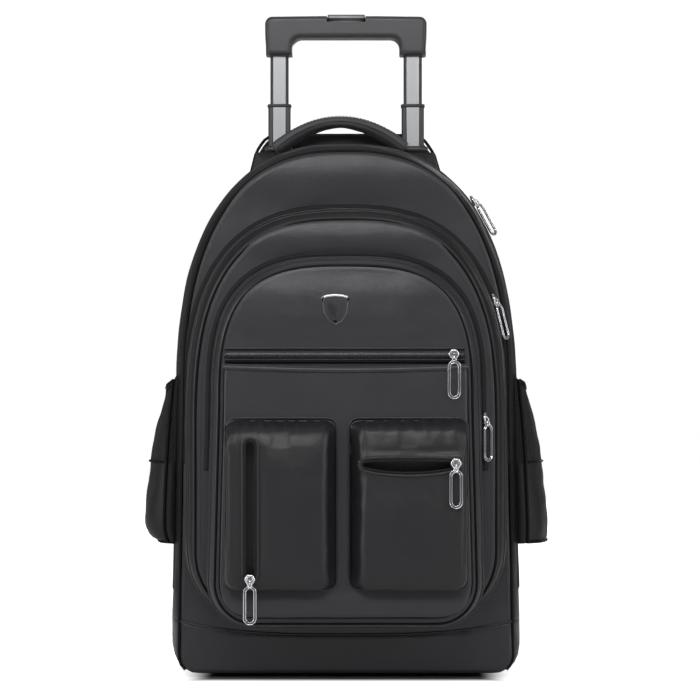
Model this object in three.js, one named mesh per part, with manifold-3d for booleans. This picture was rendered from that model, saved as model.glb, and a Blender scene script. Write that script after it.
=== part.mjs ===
// A wheeled backpack that stands on two wheels and two feet.
// Millimetres, +Z up, the front faces -Y.
// Cloth compartments are stacked from back to front, and a three-stage pull handle slides out of the back.
import * as THREE from 'three';
import { mergeVertices } from 'three/addons/utils/BufferGeometryUtils.js';
import Module from 'manifold-3d';

const wasm = await Module();
wasm.setup();

// Fits and walls
const gap = 0.3;
const cloth = 2.5;
const pocketCloth = 2;

// Main compartment
const bodyWidth = 324;
const mainDepth = 100;
const floorGap = 3.5;
const mainTop = 490;
const mainSpring = 250;
const mainCorner = 26;
const mainRoll = 11;
const mainBottomRoll = 1;
const baseSeamHeight = 39;
const baseSeamRise = 15;

// Compartments in front of it
const middleWidth = bodyWidth - 36;
const middleDepth = 50;
const middleBottom = 50;
const middleTop = mainTop - 65;
const middleSpring = 230;
const middleCorner = 71;
const middleRoll = 11;
const frontWidth = middleWidth - 50;
const frontDepth = 30;
const frontBottom = 54;
const frontTop = middleTop - 45;
const frontSpring = 250;
const frontCorner = 42;
const frontRoll = 8;

// Zips
const zipWidth = 8;
const zipThickness = 1.6;
const mainZipEnd = 150;
const mainSliderZ = 438;
const middleZipEnd = 194;
const middleZipOpen = 345;
const middleGape = 12;
const frontZipEnd = 190;
const frontZipOpen = 239;
const frontGape = 10;

// Tablet pocket and the two small pockets on it
const tabletInset = 2.5;
const tabletDepth = 9;
const tabletLip = 287;
const tabletLipSag = 3;
const tabletZipMargin = 10;
const smallPocketDepth = 20;
const smallPocketBottom = 91;
const smallPocketTop = 231;
const smallPocketCorner = 9;
const smallPocketSlope = 8;
const smallPocketEdge = 3;
const smallPocketSoften = 5;
const leftPocketWidth = 96;
const rightPocketWidth = 102;
const pocketValley = 12;
const valleyOffset = -2.5;
const slitWidth = 7;
const leftSlitInset = 22;
const leftSlitMargin = 11;
const rightSlitDrop = 31;
const rightSlitMargin = 11.5;
const rightSlitSag = 0.5;
const rightSlitOpen = 9.6;

// Side pockets
const sidePocketBottom = 123;
const sidePocketTop = 278;
const sidePocketDepth = 78;
const sidePocketBulge = 27;
const sidePocketDip = 12;
const sidePocketSink = 14;

// Badge
const badgeWidth = 27;
const badgeHeight = 30;
const badgeThickness = 2.2;
const badgeOffset = -9;
const badgeTop = 350;

// Slider and ring pull
const sliderWidth = 7;
const sliderLength = 9;
const sliderThickness = 3.4;
const bailHeight = 1.6;
const tabletPullReach = 7;
const pullWidth = 11;
const pullLength = 34;
const pullThickness = 1.8;
const pullRim = 1.9;

// Back panel, straps and carry handle
const backThickness = 24;
const backInset = 6;
const humpHalfTop = 76;
const humpHalfFoot = 99;
const humpFoot = mainTop - 50;
const humpRise = 12;
const backTop = mainTop + 15;
const humpWall = 2.2;
const lumbarWidth = 170;
const lumbarHeight = 100;
const lumbarBottom = 90;
const lumbarThickness = 9;
const lumbarCorner = 18;
const strapThickness = 11;
const strapTopWidth = 62;
const strapEndWidth = 44;
const strapRise = 15.1;
const strapTop = mainTop - 10;
const strapBottom = 225;
const strapTopX = 42;
const strapBottomX = bodyWidth / 2 - 56;
const webbingWidth = 25;
const webbingThickness = 2;
const webbingEndX = bodyWidth / 2 - 28;
const webbingEndZ = 88;
const buckleHeight = 26;
const buckleThickness = 7;
const buckleOffset = 3;
const buckleDrop = 5.3;
const carryHalfSpan = 62;
const carryShift = -5.8;
const carryTop = mainTop + 30;
const carryThickness = 10;
const carryWidth = 28;
const carrySetback = 18;

// Pull handle
const tubeSpacing = 128;
const tubeSetback = 12;
const innerTubeWidth = 17.6;
const innerTubeDepth = 10;
const tubeWall = 1.2;
const tubeRun = 0.7;
const tubeChamfer = 2.6;
const middleTubeLength = 316.5;
const middleTubeShown = 40.5;
const innerTubeLength = 343.2;
const innerTubeShown = 45.7;
const collarHeight = 8;
const collarProud = 0.9;
const outerTubeBottom = 22;
const bezelThickness = 6;
const bezelMargin = 2;
const bezelCorner = 3;
const bezelSink = 17;
const gripWidth = 155;
const gripHeight = 38.5;
const gripLipRadius = 7;
const gripDepth = 26;
const gripBar = 22;
const gripLeg = 26.5;
const gripCorner = 9;
const gripSoften = 4;
const gripEdge = 2.5;
const gripSocket = 13;
const buttonWidth = 36;
const buttonDepth = 13;
const buttonProud = 1.8;
const buttonHeight = 8;
const buttonTravel = 3;
const buttonCorner = 5;

// Wheels, housings, kick plate and feet
const wheelRadius = 33;
const wheelWidth = 22;
const wheelInset = 35;
const wheelSetback = 2;
const tyreThickness = 8;
const hubWeb = 4;
const axleRadius = 4;
const wheelClearance = 2.5;
const cheek = 3;
const kickTop = 60;
const kickBottom = 8;
const footInsetX = 35;
const footWidth = 36;
const footLength = 20;
const footInsetY = 8;

// Places that follow from the sizes: y is 0 between the back panel and the main compartment
const mainFront = -mainDepth;
const middleBack = mainFront - gap;
const middleFront = middleBack - middleDepth;
const frontBack = middleFront - gap;
const frontFace = frontBack - frontDepth;
const tabletBack = frontFace - gap;
const tabletFace = tabletBack - tabletDepth;
const smallPocketBack = tabletFace - gap;
const smallPocketFace = smallPocketBack - smallPocketDepth;
const backFace = gap + backThickness;
const stageStep = tubeWall + tubeRun;
const middleTube = { width: innerTubeWidth + 2 * stageStep, depth: innerTubeDepth + 2 * stageStep };
const outerTube = { width: middleTube.width + 2 * stageStep, depth: middleTube.depth + 2 * stageStep };
const tubeX = tubeSpacing / 2;
const bezelBottom = backTop - bezelSink;
const bezelTop = bezelBottom + gap + bezelThickness;
const middleTubeTop = bezelTop + middleTubeShown;
const middleTubeBottom = middleTubeTop - middleTubeLength;
const gripBottom = middleTubeTop + innerTubeShown;
const gripTop = gripBottom + gripHeight;
const innerTubeTop = gripBottom + gripSocket - gap;
const innerTubeBottom = innerTubeTop - innerTubeLength;
const wheelX = bodyWidth / 2 - wheelInset;
const footX = wheelX - footInsetX;
// Longer than the whole part: for cutters that have to pass right through it
const beyond = 2 * mainTop;

// Colours and finishes
const finish = {
  cloth: new THREE.MeshStandardMaterial({ color: 0x37363b, roughness: 0.75, metalness: 0 }),
  darkCloth: new THREE.MeshStandardMaterial({ color: 0x2a2a2d, roughness: 0.8, metalness: 0 }),
  zip: new THREE.MeshStandardMaterial({ color: 0x17171a, roughness: 0.7, metalness: 0 }),
  net: new THREE.MeshStandardMaterial({ color: 0x1e1e21, roughness: 0.9, metalness: 0 }),
  webbing: new THREE.MeshStandardMaterial({ color: 0x1a1a1c, roughness: 0.8, metalness: 0 }),
  chrome: new THREE.MeshStandardMaterial({ color: 0xc9cbce, roughness: 0.2, metalness: 1 }),
  tube: new THREE.MeshStandardMaterial({ color: 0xa9aaad, roughness: 0.35, metalness: 1 }),
  grip: new THREE.MeshStandardMaterial({ color: 0x56565a, roughness: 0.5, metalness: 0 }),
  plastic: new THREE.MeshStandardMaterial({ color: 0x1c1c1e, roughness: 0.55, metalness: 0 }),
  rubber: new THREE.MeshStandardMaterial({ color: 0x202022, roughness: 0.85, metalness: 0 }),
};

const model = new THREE.Group();

function add(name, geometry, material) {
  geometry.computeVertexNormals();
  const mesh = new THREE.Mesh(geometry, material);
  mesh.name = name;
  model.add(mesh);
  return mesh;
}

// Closed geometry from its corners and triangles, turned so that its faces point out
function closedGeometry(corners, triangles) {
  let volume = 0;
  for (const [a, b, c] of triangles) {
    const [p, q, r] = [corners[a], corners[b], corners[c]];
    volume += p[0] * (q[1] * r[2] - q[2] * r[1]);
    volume += p[1] * (q[2] * r[0] - q[0] * r[2]);
    volume += p[2] * (q[0] * r[1] - q[1] * r[0]);
  }
  const facing = volume > 0 ? triangles : triangles.map(([a, b, c]) => [a, c, b]);
  const geometry = new THREE.BufferGeometry();
  geometry.setAttribute('position', new THREE.Float32BufferAttribute(corners.flat(), 3));
  geometry.setIndex(facing.flat());
  return geometry;
}

// A skin through rings of equal length, closed at both ends by a fan round each end ring's middle
function loft(rings) {
  const count = rings[0].length;
  const corners = rings.flat();
  const triangles = [];
  for (let r = 0; r < rings.length - 1; r++) {
    for (let i = 0; i < count; i++) {
      const j = (i + 1) % count;
      triangles.push([r * count + i, r * count + j, (r + 1) * count + j]);
      triangles.push([r * count + i, (r + 1) * count + j, (r + 1) * count + i]);
    }
  }
  const last = (rings.length - 1) * count;
  for (const [start, ring, turn] of [[0, rings[0], true], [last, rings.at(-1), false]]) {
    const middle = [0, 1, 2].map((k) => ring.reduce((sum, p) => sum + p[k], 0) / count);
    corners.push(middle);
    for (let i = 0; i < count; i++) {
      const j = (i + 1) % count;
      const pair = turn ? [start + j, start + i] : [start + i, start + j];
      triangles.push([corners.length - 1, ...pair]);
    }
  }
  return closedGeometry(corners, triangles);
}

function solid(geometry) {
  const bare = geometry.clone();
  bare.deleteAttribute('normal');
  bare.deleteAttribute('uv');
  const merged = mergeVertices(bare, 1e-4);
  return new wasm.Manifold(new wasm.Mesh({
    numProp: 3,
    vertProperties: Float32Array.from(merged.attributes.position.array),
    triVerts: Uint32Array.from(merged.index.array),
  }));
}

function geometryOf(manifold) {
  const mesh = manifold.getMesh();
  const geometry = new THREE.BufferGeometry();
  geometry.setAttribute('position', new THREE.Float32BufferAttribute(Array.from(mesh.vertProperties), 3));
  geometry.setIndex(Array.from(mesh.triVerts));
  return geometry;
}

// A block between two corners
function block(low, high) {
  const size = high.map((value, k) => value - low[k]);
  const geometry = new THREE.BoxGeometry(...size);
  geometry.translate(...low.map((value, k) => value + size[k] / 2));
  return solid(geometry);
}

// A straight bar of any outline: XZ outlines run along Y, YZ outlines along X, XY outlines along Z
function bar(outline, along, from, to) {
  const place = {
    y: ([a, b], t) => [a, t, b],
    x: ([a, b], t) => [t, a, b],
    z: ([a, b], t) => [a, b, t],
  }[along];
  return loft([from, to].map((t) => outline.map((point) => place(point, t))));
}

function roundedRectangle(width, height, radius, steps, centreX = 0, centreZ = 0) {
  const points = [];
  const turns = [[1, -1, -90], [1, 1, 0], [-1, 1, 90], [-1, -1, 180]];
  for (const [sideX, sideZ, start] of turns) {
    for (let i = 0; i <= steps; i++) {
      const angle = THREE.MathUtils.degToRad(start + (90 * i) / steps);
      points.push([
        centreX + sideX * (width / 2 - radius) + radius * Math.cos(angle),
        centreZ + sideZ * (height / 2 - radius) + radius * Math.sin(angle),
      ]);
    }
  }
  return points;
}

const mirrored = (points) => points.map(([x, ...rest]) => [-x, ...rest]);
const lerp = THREE.MathUtils.lerp;

// Compartment outline, seen from the front: rounded bottom corners, nearly upright sides and an arched top
const cornerSteps = 4;
const sideSteps = 2;
const archSteps = 9;

function bagOutline(form, grow = 0, fall = grow) {
  const foot = form.foot + grow;
  const half = form.half + grow;
  const low = form.bottom - fall;
  const high = form.top + grow;
  const radius = Math.max(form.corner + grow, 1);
  const right = [];
  for (let i = 0; i <= cornerSteps; i++) {
    const angle = (i / cornerSteps) * (Math.PI / 2);
    right.push([foot - radius * (1 - Math.sin(angle)), low + radius * (1 - Math.cos(angle))]);
  }
  for (let i = 1; i <= sideSteps; i++) {
    const t = i / (sideSteps + 1);
    right.push([lerp(foot, half, t), lerp(low + radius, form.spring, t)]);
  }
  for (let i = 0; i < archSteps; i++) {
    const angle = (i / archSteps) * (Math.PI / 2);
    const x = half * Math.cos(angle) ** (2 / form.square);
    right.push([x, form.spring + (high - form.spring) * Math.sin(angle) ** (2 / form.square)]);
  }
  return [[0, low], ...right, [0, high], ...mirrored(right).reverse()];
}

// A layer's sections from back to front. pull: how far the edge pulls in, as a share of its edge roll
const layers = {
  main: {
    back: 0,
    depth: mainDepth,
    form: {
      foot: bodyWidth / 2,
      half: bodyWidth / 2 - 4,
      bottom: floorGap,
      top: mainTop,
      spring: mainSpring,
      corner: mainCorner,
      square: 2.5,
    },
    roll: mainRoll,
    bottomRoll: mainBottomRoll,
    sections: [
      { depth: 0, pull: 0.5 },
      { depth: 0.08, pull: 0.1 },
      { depth: 0.45, pull: 0 },
      { depth: 0.85, pull: 0.35 },
      { depth: 1, pull: 1 },
    ],
  },
  middle: {
    back: middleBack,
    depth: middleDepth,
    form: {
      foot: middleWidth / 2,
      half: middleWidth / 2,
      bottom: middleBottom,
      top: middleTop,
      spring: middleSpring,
      corner: middleCorner,
      square: 2.7,
    },
    roll: middleRoll,
    bottomRoll: middleRoll - 3,
    gape: { amount: middleGape, from: middleZipOpen },
    sections: [
      { depth: 0, pull: 0 },
      { depth: 0.4, pull: 0 },
      { depth: 0.8, pull: 0.4 },
      { depth: 1, pull: 1 },
    ],
  },
  front: {
    back: frontBack,
    depth: frontDepth,
    form: {
      foot: frontWidth / 2 + 3,
      half: frontWidth / 2 - 1,
      bottom: frontBottom,
      top: frontTop,
      spring: frontSpring,
      corner: frontCorner,
      square: 3,
    },
    roll: frontRoll,
    bottomRoll: frontRoll - 2,
    gape: { amount: frontGape, from: frontZipOpen },
    sections: [
      { depth: 0, pull: 0 },
      { depth: 0.5, pull: 0 },
      { depth: 0.85, pull: 0.45 },
      { depth: 1, pull: 1 },
    ],
  },
};

function pullAt(layer, depth) {
  const rows = layer.sections;
  const after = rows.findIndex((row) => row.depth >= depth);
  if (after <= 0) return rows[0].pull;
  const [a, b] = [rows[after - 1], rows[after]];
  return lerp(a.pull, b.pull, (depth - a.depth) / (b.depth - a.depth));
}

// How far the back rim of an unzipped layer stands off the layer behind it, at height z
function gapeAt(layer, z) {
  if (!layer.gape) return 0;
  const share = (z - layer.gape.from) / (layer.form.top - layer.gape.from);
  return layer.gape.amount * THREE.MathUtils.smoothstep(share, 0, 1);
}

// A layer's ring at a share of its depth, grown outwards, its rim leaned forward where the zip is open
function layerRing(layer, depth, grow = 0, forward = 0) {
  const pull = pullAt(layer, depth);
  const outline = bagOutline(layer.form, grow - layer.roll * pull, grow - layer.bottomRoll * pull);
  const lean = depth === 0 ? 1 : 0;
  return outline.map(([x, z]) => {
    const y = layer.back - depth * layer.depth - forward - lean * gapeAt(layer, z);
    return [x, y, z];
  });
}

const outerRings = (layer, grow = 0) => layer.sections.map(({ depth }) => layerRing(layer, depth, grow));

// A layer's cloth, open at the back: inner skin from the front wall to the rim, then the outer skin
function openShell(layer) {
  const innerFront = layer.back - layer.depth + cloth;
  const inner = layer.sections.map(({ depth }) => (
    layerRing(layer, depth, -cloth).map(([x, y, z]) => [x, Math.max(y, innerFront), z])
  ));
  return loft([...inner.reverse(), ...outerRings(layer)]);
}

// The half-width of a layer's outline at a height, for placing what sits on its edge
function edgeX(outline, z) {
  for (let i = 0; i < outline.length - 1; i++) {
    const [a, b] = [outline[i], outline[i + 1]];
    if (a[0] > 0 && b[1] >= z && a[1] <= z) return lerp(a[0], b[0], (z - a[1]) / (b[1] - a[1] || 1));
  }
  return 0;
}

// Wheel housing, in side view: upright front, round over the wheel, flat top to the back face
const housingHalf = wheelWidth / 2 + 1.5 + cheek;
const housingRear = backFace + 1;

function wheelArch(radius, low, rear) {
  const points = [[wheelSetback - radius, low]];
  const steps = 8;
  for (let i = 0; i <= steps; i++) {
    const angle = Math.PI - (i / steps) * (Math.PI / 2);
    points.push([wheelSetback + radius * Math.cos(angle), wheelRadius + radius * Math.sin(angle)]);
  }
  points.push([rear, wheelRadius + radius], [rear, low]);
  return points;
}

const housingRadius = wheelRadius + wheelClearance + cheek;

function housingNotch(side) {
  const centre = side * wheelX;
  const outline = wheelArch(housingRadius + gap, -floorGap, beyond);
  return solid(bar(outline, 'x', centre - housingHalf - gap, centre + housingHalf + gap));
}

const notches = housingNotch(-1).add(housingNotch(1));

// Main compartment: hollow, slit open along its zip, and split from its bottom at the base seam
const main = layers.main;
const mainOuter = solid(loft(outerRings(main)));
const mainInner = solid(loft(main.sections.map(({ depth }) => {
  const inside = THREE.MathUtils.clamp(depth, cloth / mainDepth, 1 - cloth / mainDepth);
  return layerRing(main, depth, -cloth).map(([x, , z]) => [x, main.back - inside * mainDepth, z]);
})));
const zipSpan = zipWidth / mainDepth / 2;
const mainZipDepth = 0.5;

// A strip that follows a layer's edge between two depths, kept above a height
function edgeStrip(rings, low) {
  return solid(loft(rings)).intersect(block([-beyond, -beyond, low], [beyond, beyond, beyond]));
}

const mainZipRing = (depth, grow) => layerRing(main, depth, grow);
const zipFrom = mainZipDepth - zipSpan;
const zipTo = mainZipDepth + zipSpan;
const slotFrom = zipFrom - gap / mainDepth;
const slotTo = zipTo + gap / mainDepth;
const slotReach = 4 * cloth;
const slotRings = [slotFrom, slotTo].map((depth) => mainZipRing(depth, slotReach));
const mainSlot = edgeStrip(slotRings, mainZipEnd - gap)
  .subtract(solid(bar(bagOutline(main.form, -slotReach), 'y', beyond, -beyond)));
const mainCloth = mainOuter.subtract(mainInner).subtract(mainSlot).subtract(notches);

// Everything below the arched base seam
function belowSeam(lift) {
  const steps = 8;
  const outline = [];
  for (let i = 0; i <= steps; i++) {
    const x = lerp(bodyWidth, -bodyWidth, i / steps) * 0.56;
    const share = Math.abs(x) / (bodyWidth / 2);
    outline.push([x, baseSeamHeight + lift + baseSeamRise * share ** 3]);
  }
  outline.push([-bodyWidth * 0.56, -beyond], [bodyWidth * 0.56, -beyond]);
  return solid(bar(outline, 'y', beyond, -beyond));
}

add('main_shell', geometryOf(mainCloth.subtract(belowSeam(gap / 2))), finish.cloth);
add('base_boot', geometryOf(mainCloth.intersect(belowSeam(-gap / 2))), finish.cloth);

const zipSink = 0.2;
const underZip = [zipFrom - zipSpan, zipTo + zipSpan].map((depth) => mainZipRing(depth, -zipSink - zipThickness));
const mainZip = edgeStrip([mainZipRing(zipFrom, -zipSink), mainZipRing(zipTo, -zipSink)], mainZipEnd)
  .subtract(solid(loft(underZip)));
add('zip_main', geometryOf(mainZip), finish.zip);

// Middle compartment and front section: cloth trays against the layer behind, unzipped along their arch
add('middle_shell', openShell(layers.middle), finish.cloth);
add('front_shell', openShell(layers.front), finish.cloth);

// A zip tape on the outside of a layer's back rim
function rimZip(layer, low) {
  const rim = [gap, gap + zipWidth].map((y) => layerRing(layer, 0, gap + zipThickness, y));
  const hollow = [-zipWidth, 2 * zipWidth].map((y) => layerRing(layer, 0, gap, y));
  return edgeStrip(rim, low).subtract(solid(loft(hollow)));
}

add('zip_middle', geometryOf(rimZip(layers.middle, middleZipEnd)), finish.zip);
add('zip_front', geometryOf(rimZip(layers.front, frontZipEnd)), finish.zip);

// Tablet pocket: a tray on the front section, its top lip sagging in the middle
const front = layers.front;
const tabletForm = (grow) => bagOutline(front.form, grow - front.roll - tabletInset);
const tabletRing = (grow, y) => tabletForm(grow).map(([x, z]) => [x, y, z]);

function lipCut(height, sag, half, y) {
  const steps = 8;
  const outline = [];
  for (let i = 0; i <= steps; i++) {
    const x = lerp(-half, half, i / steps);
    outline.push([x, height - sag * Math.cos((x / half) * (Math.PI / 2))]);
  }
  outline.push([half, beyond], [-half, beyond]);
  return solid(bar(outline, 'y', y + beyond, y - beyond));
}

const tabletTray = solid(loft([
  tabletRing(-pocketCloth, tabletFace + pocketCloth),
  tabletRing(-pocketCloth, tabletBack),
  tabletRing(0, tabletBack),
  tabletRing(0, tabletFace + pocketCloth),
  tabletRing(-pocketCloth, tabletFace),
]));
const aboveLip = lipCut(tabletLip, tabletLipSag, frontWidth / 2, tabletFace);
add('tablet_panel', geometryOf(tabletTray.subtract(aboveLip)), finish.cloth);

const tabletZipHalf = frontWidth / 2 - front.roll - tabletInset - tabletZipMargin;
const tabletZipZ = tabletLip + zipWidth;
const tabletZipOutline = roundedRectangle(2 * tabletZipHalf, zipWidth - 1, 2, 2, 0, tabletZipZ);
add('zip_tablet', bar(tabletZipOutline, 'y', tabletBack, tabletBack - zipThickness), finish.zip);

// Small gusseted pockets: trays on the tablet pocket, each slit open along its zip
function smallPocket(centreX, width, slit) {
  const height = smallPocketTop - smallPocketBottom;
  const centreZ = smallPocketBottom + height / 2;
  const ring = (grow, y, lift = 0) => roundedRectangle(
    width + 2 * grow, height + 2 * grow, smallPocketCorner + grow, 3, centreX, centreZ,
  ).map(([x, z]) => [x, y, z > centreZ ? z + lift : z]);
  const face = smallPocketFace;
  const tray = solid(loft([
    ring(-pocketCloth - smallPocketEdge, face + pocketCloth),
    ring(-pocketCloth, face + pocketCloth + smallPocketSoften),
    ring(-pocketCloth, smallPocketBack, smallPocketSlope),
    ring(0, smallPocketBack, smallPocketSlope),
    ring(0, face + smallPocketSoften),
    ring(-smallPocketEdge, face),
  ]));
  return tray.subtract(solid(bar(slit(0), 'y', face + 2 * pocketCloth, face - pocketCloth)));
}

const leftPocketX = valleyOffset - pocketValley / 2 - leftPocketWidth / 2;
const rightPocketX = valleyOffset + pocketValley / 2 + rightPocketWidth / 2;
const leftSlitX = leftPocketX - leftPocketWidth / 2 + leftSlitInset;
const leftSlitLength = smallPocketTop - smallPocketBottom - 2 * leftSlitMargin;
const smallPocketMiddle = (smallPocketTop + smallPocketBottom) / 2;
const rightSlitZ = smallPocketTop - rightSlitDrop;
const rightSlitHalf = rightPocketWidth / 2 - rightSlitMargin;

const leftSlit = (grow) => {
  const width = slitWidth + 2 * grow;
  return roundedRectangle(width, leftSlitLength + 2 * grow, 0.49 * width, 3, leftSlitX, smallPocketMiddle);
};

// A mouth that sags in the middle and closes to a point at both ends
function rightSlit(grow) {
  const steps = 10;
  const half = rightSlitHalf + grow;
  const edge = (up) => {
    const points = [];
    for (let i = 0; i <= steps; i++) {
      const t = lerp(-1, 1, i / steps);
      const sag = rightSlitSag * Math.cos((t * Math.PI) / 2);
      const opening = (rightSlitOpen / 2) * Math.sqrt(1 - (0.96 * t) ** 2) + grow;
      points.push([rightPocketX + t * half, rightSlitZ - sag + up * opening]);
    }
    return points;
  };
  return [...edge(-1), ...edge(1).reverse()];
}

add('pocket_left', geometryOf(smallPocket(leftPocketX, leftPocketWidth, leftSlit)), finish.cloth);
add('pocket_right', geometryOf(smallPocket(rightPocketX, rightPocketWidth, rightSlit)), finish.cloth);

// A zip tape frame round a slit
function slitZip(slit) {
  const from = smallPocketFace - gap;
  const tape = solid(bar(slit(zipWidth / 2), 'y', from, from - zipThickness));
  return tape.subtract(solid(bar(slit(gap), 'y', from + zipThickness, from - 2 * zipThickness)));
}

add('zip_pocket_left', geometryOf(slitZip(leftSlit)), finish.zip);
add('zip_pocket_right', geometryOf(slitZip(rightSlit)), finish.zip);

// Side pockets: D-shaped sections up the body's side, open at the top, the hem dipping in the middle
const sideRows = [
  { up: 0, out: 0.8 },
  { up: 0.06, out: 0.97 },
  { up: 0.3, out: 0.96 },
  { up: 0.56, out: 0.81 },
  { up: 0.76, out: 0.6 },
  { up: 0.9, out: 0.36 },
  { up: 1, out: 0.22 },
];

function sideSection(side, out, z, inset) {
  const steps = 8;
  const back = -(mainDepth - sidePocketDepth) / 2 - inset;
  const length = sidePocketDepth - 2 * inset;
  const inner = bodyWidth / 2 - sidePocketSink;
  const points = [[side * inner, back, z]];
  for (let i = 0; i <= steps; i++) {
    const t = i / steps;
    const swell = Math.max(Math.sin(Math.PI * t), 0) ** 0.45;
    const reach = (sidePocketSink + out - inset) * Math.max(swell, 0.02);
    points.push([side * (inner + reach), back - t * length, z]);
  }
  points.push([side * inner, back - length, z]);
  return points;
}

function sidePocket(side) {
  const height = sidePocketTop - sidePocketBottom;
  const rows = (inset) => sideRows.map(({ up, out }) => {
    const z = sidePocketBottom + Math.max(up * height, inset);
    return sideSection(side, out * sidePocketBulge, z + (up === 1 ? inset : 0), inset);
  });
  const skin = solid(loft(rows(0)));
  const inside = solid(loft(rows(pocketCloth)));
  const steps = 8;
  const dip = [];
  for (let i = 0; i <= steps; i++) {
    const t = i / steps;
    dip.push([lerp(0.1, -1.1, t) * mainDepth, sidePocketTop - sidePocketDip * Math.sin(Math.PI * t) - gap]);
  }
  dip.push([-1.1 * mainDepth, beyond], [0.1 * mainDepth, beyond]);
  const above = solid(bar(dip, 'x', -bodyWidth, bodyWidth));
  const body = solid(loft(outerRings(main, gap)));
  return skin.subtract(inside).subtract(above).subtract(body);
}

add('side_pocket_left', geometryOf(sidePocket(-1)), finish.net);
add('side_pocket_right', geometryOf(sidePocket(1)), finish.net);

// Badge: a plain shield on the front section
const shield = [
  [-0.5, -0.08], [-0.3, 0], [0.3, 0], [0.5, -0.08], [0.44, -0.6],
  [0.24, -0.9], [0, -1], [-0.24, -0.9], [-0.44, -0.6],
];
const badgeOutline = shield.map(([x, z]) => [badgeOffset + x * badgeWidth, badgeTop + z * badgeHeight]);
add('badge', bar(badgeOutline, 'y', frontFace - gap, frontFace - gap - badgeThickness), finish.plastic);

// Carry handle: a padded arch in front of the tubes, its feet on the shoulders of the main compartment
const shoulder = layerRing(main, 0.2, gap).filter(([x, , z]) => x >= 0 && z > mainSpring);

// The height of the main compartment's arch at a distance from the middle
function shoulderZ(x) {
  const after = shoulder.findIndex(([a]) => a <= x);
  const [low, high] = [shoulder[after - 1], shoulder[after]];
  return lerp(low[2], high[2], (low[0] - x) / (low[0] - high[0]));
}

function carryHandle() {
  const steps = 14;
  const centre = -carrySetback;
  const rings = [];
  for (let i = 0; i <= steps; i++) {
    const t = lerp(-1, 1, i / steps);
    const x = carryShift + t * carryHalfSpan;
    const end = Math.abs(carryShift + Math.sign(t) * carryHalfSpan);
    const endZ = shoulderZ(end) + carryThickness / 2;
    const z = endZ + (carryTop - carryThickness / 2 - endZ) * Math.max(Math.cos((t * Math.PI) / 2), 0) ** 0.8;
    const slope = 0.9 * Math.atan2((endZ - carryTop) * Math.sin((t * Math.PI) / 2), carryHalfSpan);
    const ring = roundedRectangle(carryWidth, carryThickness, 0.45 * carryThickness, 2).map(([across, up]) => [
      x - up * Math.sin(slope), centre + across, z + up * Math.cos(slope),
    ]);
    rings.push(ring);
  }
  const top = solid(loft(outerRings(main, gap)));
  const rear = block([-beyond, 0, 0], [beyond, beyond, beyond]);
  return solid(loft(rings)).subtract(top).subtract(rear);
}

add('carry_handle', geometryOf(carryHandle()), finish.darkCloth);

// Tubes: chamfered rectangular sections, seen from above
function tubeOutline({ width, depth }, centreX, grow = 0) {
  const x = width / 2 + grow;
  const y = depth / 2 + grow;
  const c = tubeChamfer;
  return [
    [x - c, -y], [x, -y + c], [x, y - c], [x - c, y], [-x + c, y], [-x, y - c], [-x, -y + c], [-x + c, -y],
  ].map(([a, b]) => [centreX + a, tubeSetback + gap + b]);
}

function tube(size, centreX, bottom, top) {
  const outer = solid(bar(tubeOutline(size, centreX), 'z', bottom, top));
  const bore = solid(bar(tubeOutline(size, centreX, -tubeWall), 'z', bottom - tubeWall, top + tubeWall));
  return outer.subtract(bore);
}

const innerTube = { width: innerTubeWidth, depth: innerTubeDepth };
const tubeRoom = (side) => (
  solid(bar(tubeOutline(outerTube, side * tubeX, gap), 'z', outerTubeBottom - gap, beyond))
);
const bothSockets = tubeRoom(-1).add(tubeRoom(1));

for (const [side, word] of [[-1, 'left'], [1, 'right']]) {
  const x = side * tubeX;
  add(`outer_tube_${word}`, geometryOf(tube(outerTube, x, outerTubeBottom, bezelBottom)), finish.tube);
  const collarSize = { width: middleTube.width + 2 * collarProud, depth: middleTube.depth + 2 * collarProud };
  const collar = solid(bar(tubeOutline(collarSize, x), 'z', middleTubeTop - collarHeight, middleTubeTop))
    .subtract(solid(bar(tubeOutline(middleTube, x, -tubeWall), 'z', 0, beyond)));
  const middleStage = tube(middleTube, x, middleTubeBottom, middleTubeTop).add(collar);
  add(`middle_tube_${word}`, geometryOf(middleStage), finish.tube);
  add(`inner_tube_${word}`, geometryOf(tube(innerTube, x, innerTubeBottom, innerTubeTop)), finish.tube);
}

// A collar round each tube, in a notch of the back panel's hump
const bezelHalf = outerTube.width / 2 + bezelMargin;
const notchRear = backFace - humpWall;
const bezelDepth = notchRear - 3 * gap;

function bezel(side) {
  const outline = roundedRectangle(2 * bezelHalf, bezelDepth, bezelCorner, 2)
    .map(([x, y]) => [x + side * tubeX, y + 2 * gap + bezelDepth / 2]);
  const hole = solid(bar(tubeOutline(middleTube, side * tubeX, 2 * gap), 'z', 0, beyond));
  return solid(bar(outline, 'z', bezelBottom + gap, bezelTop)).subtract(hole);
}

function humpNotch(side) {
  const inner = side * (tubeX - bezelHalf - gap);
  const outer = side * beyond;
  return block([Math.min(inner, outer), -gap, bezelBottom], [Math.max(inner, outer), notchRear, beyond]);
}

add('handle_bezel_left', geometryOf(bezel(-1)), finish.plastic);
add('handle_bezel_right', geometryOf(bezel(1)), finish.plastic);

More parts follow.
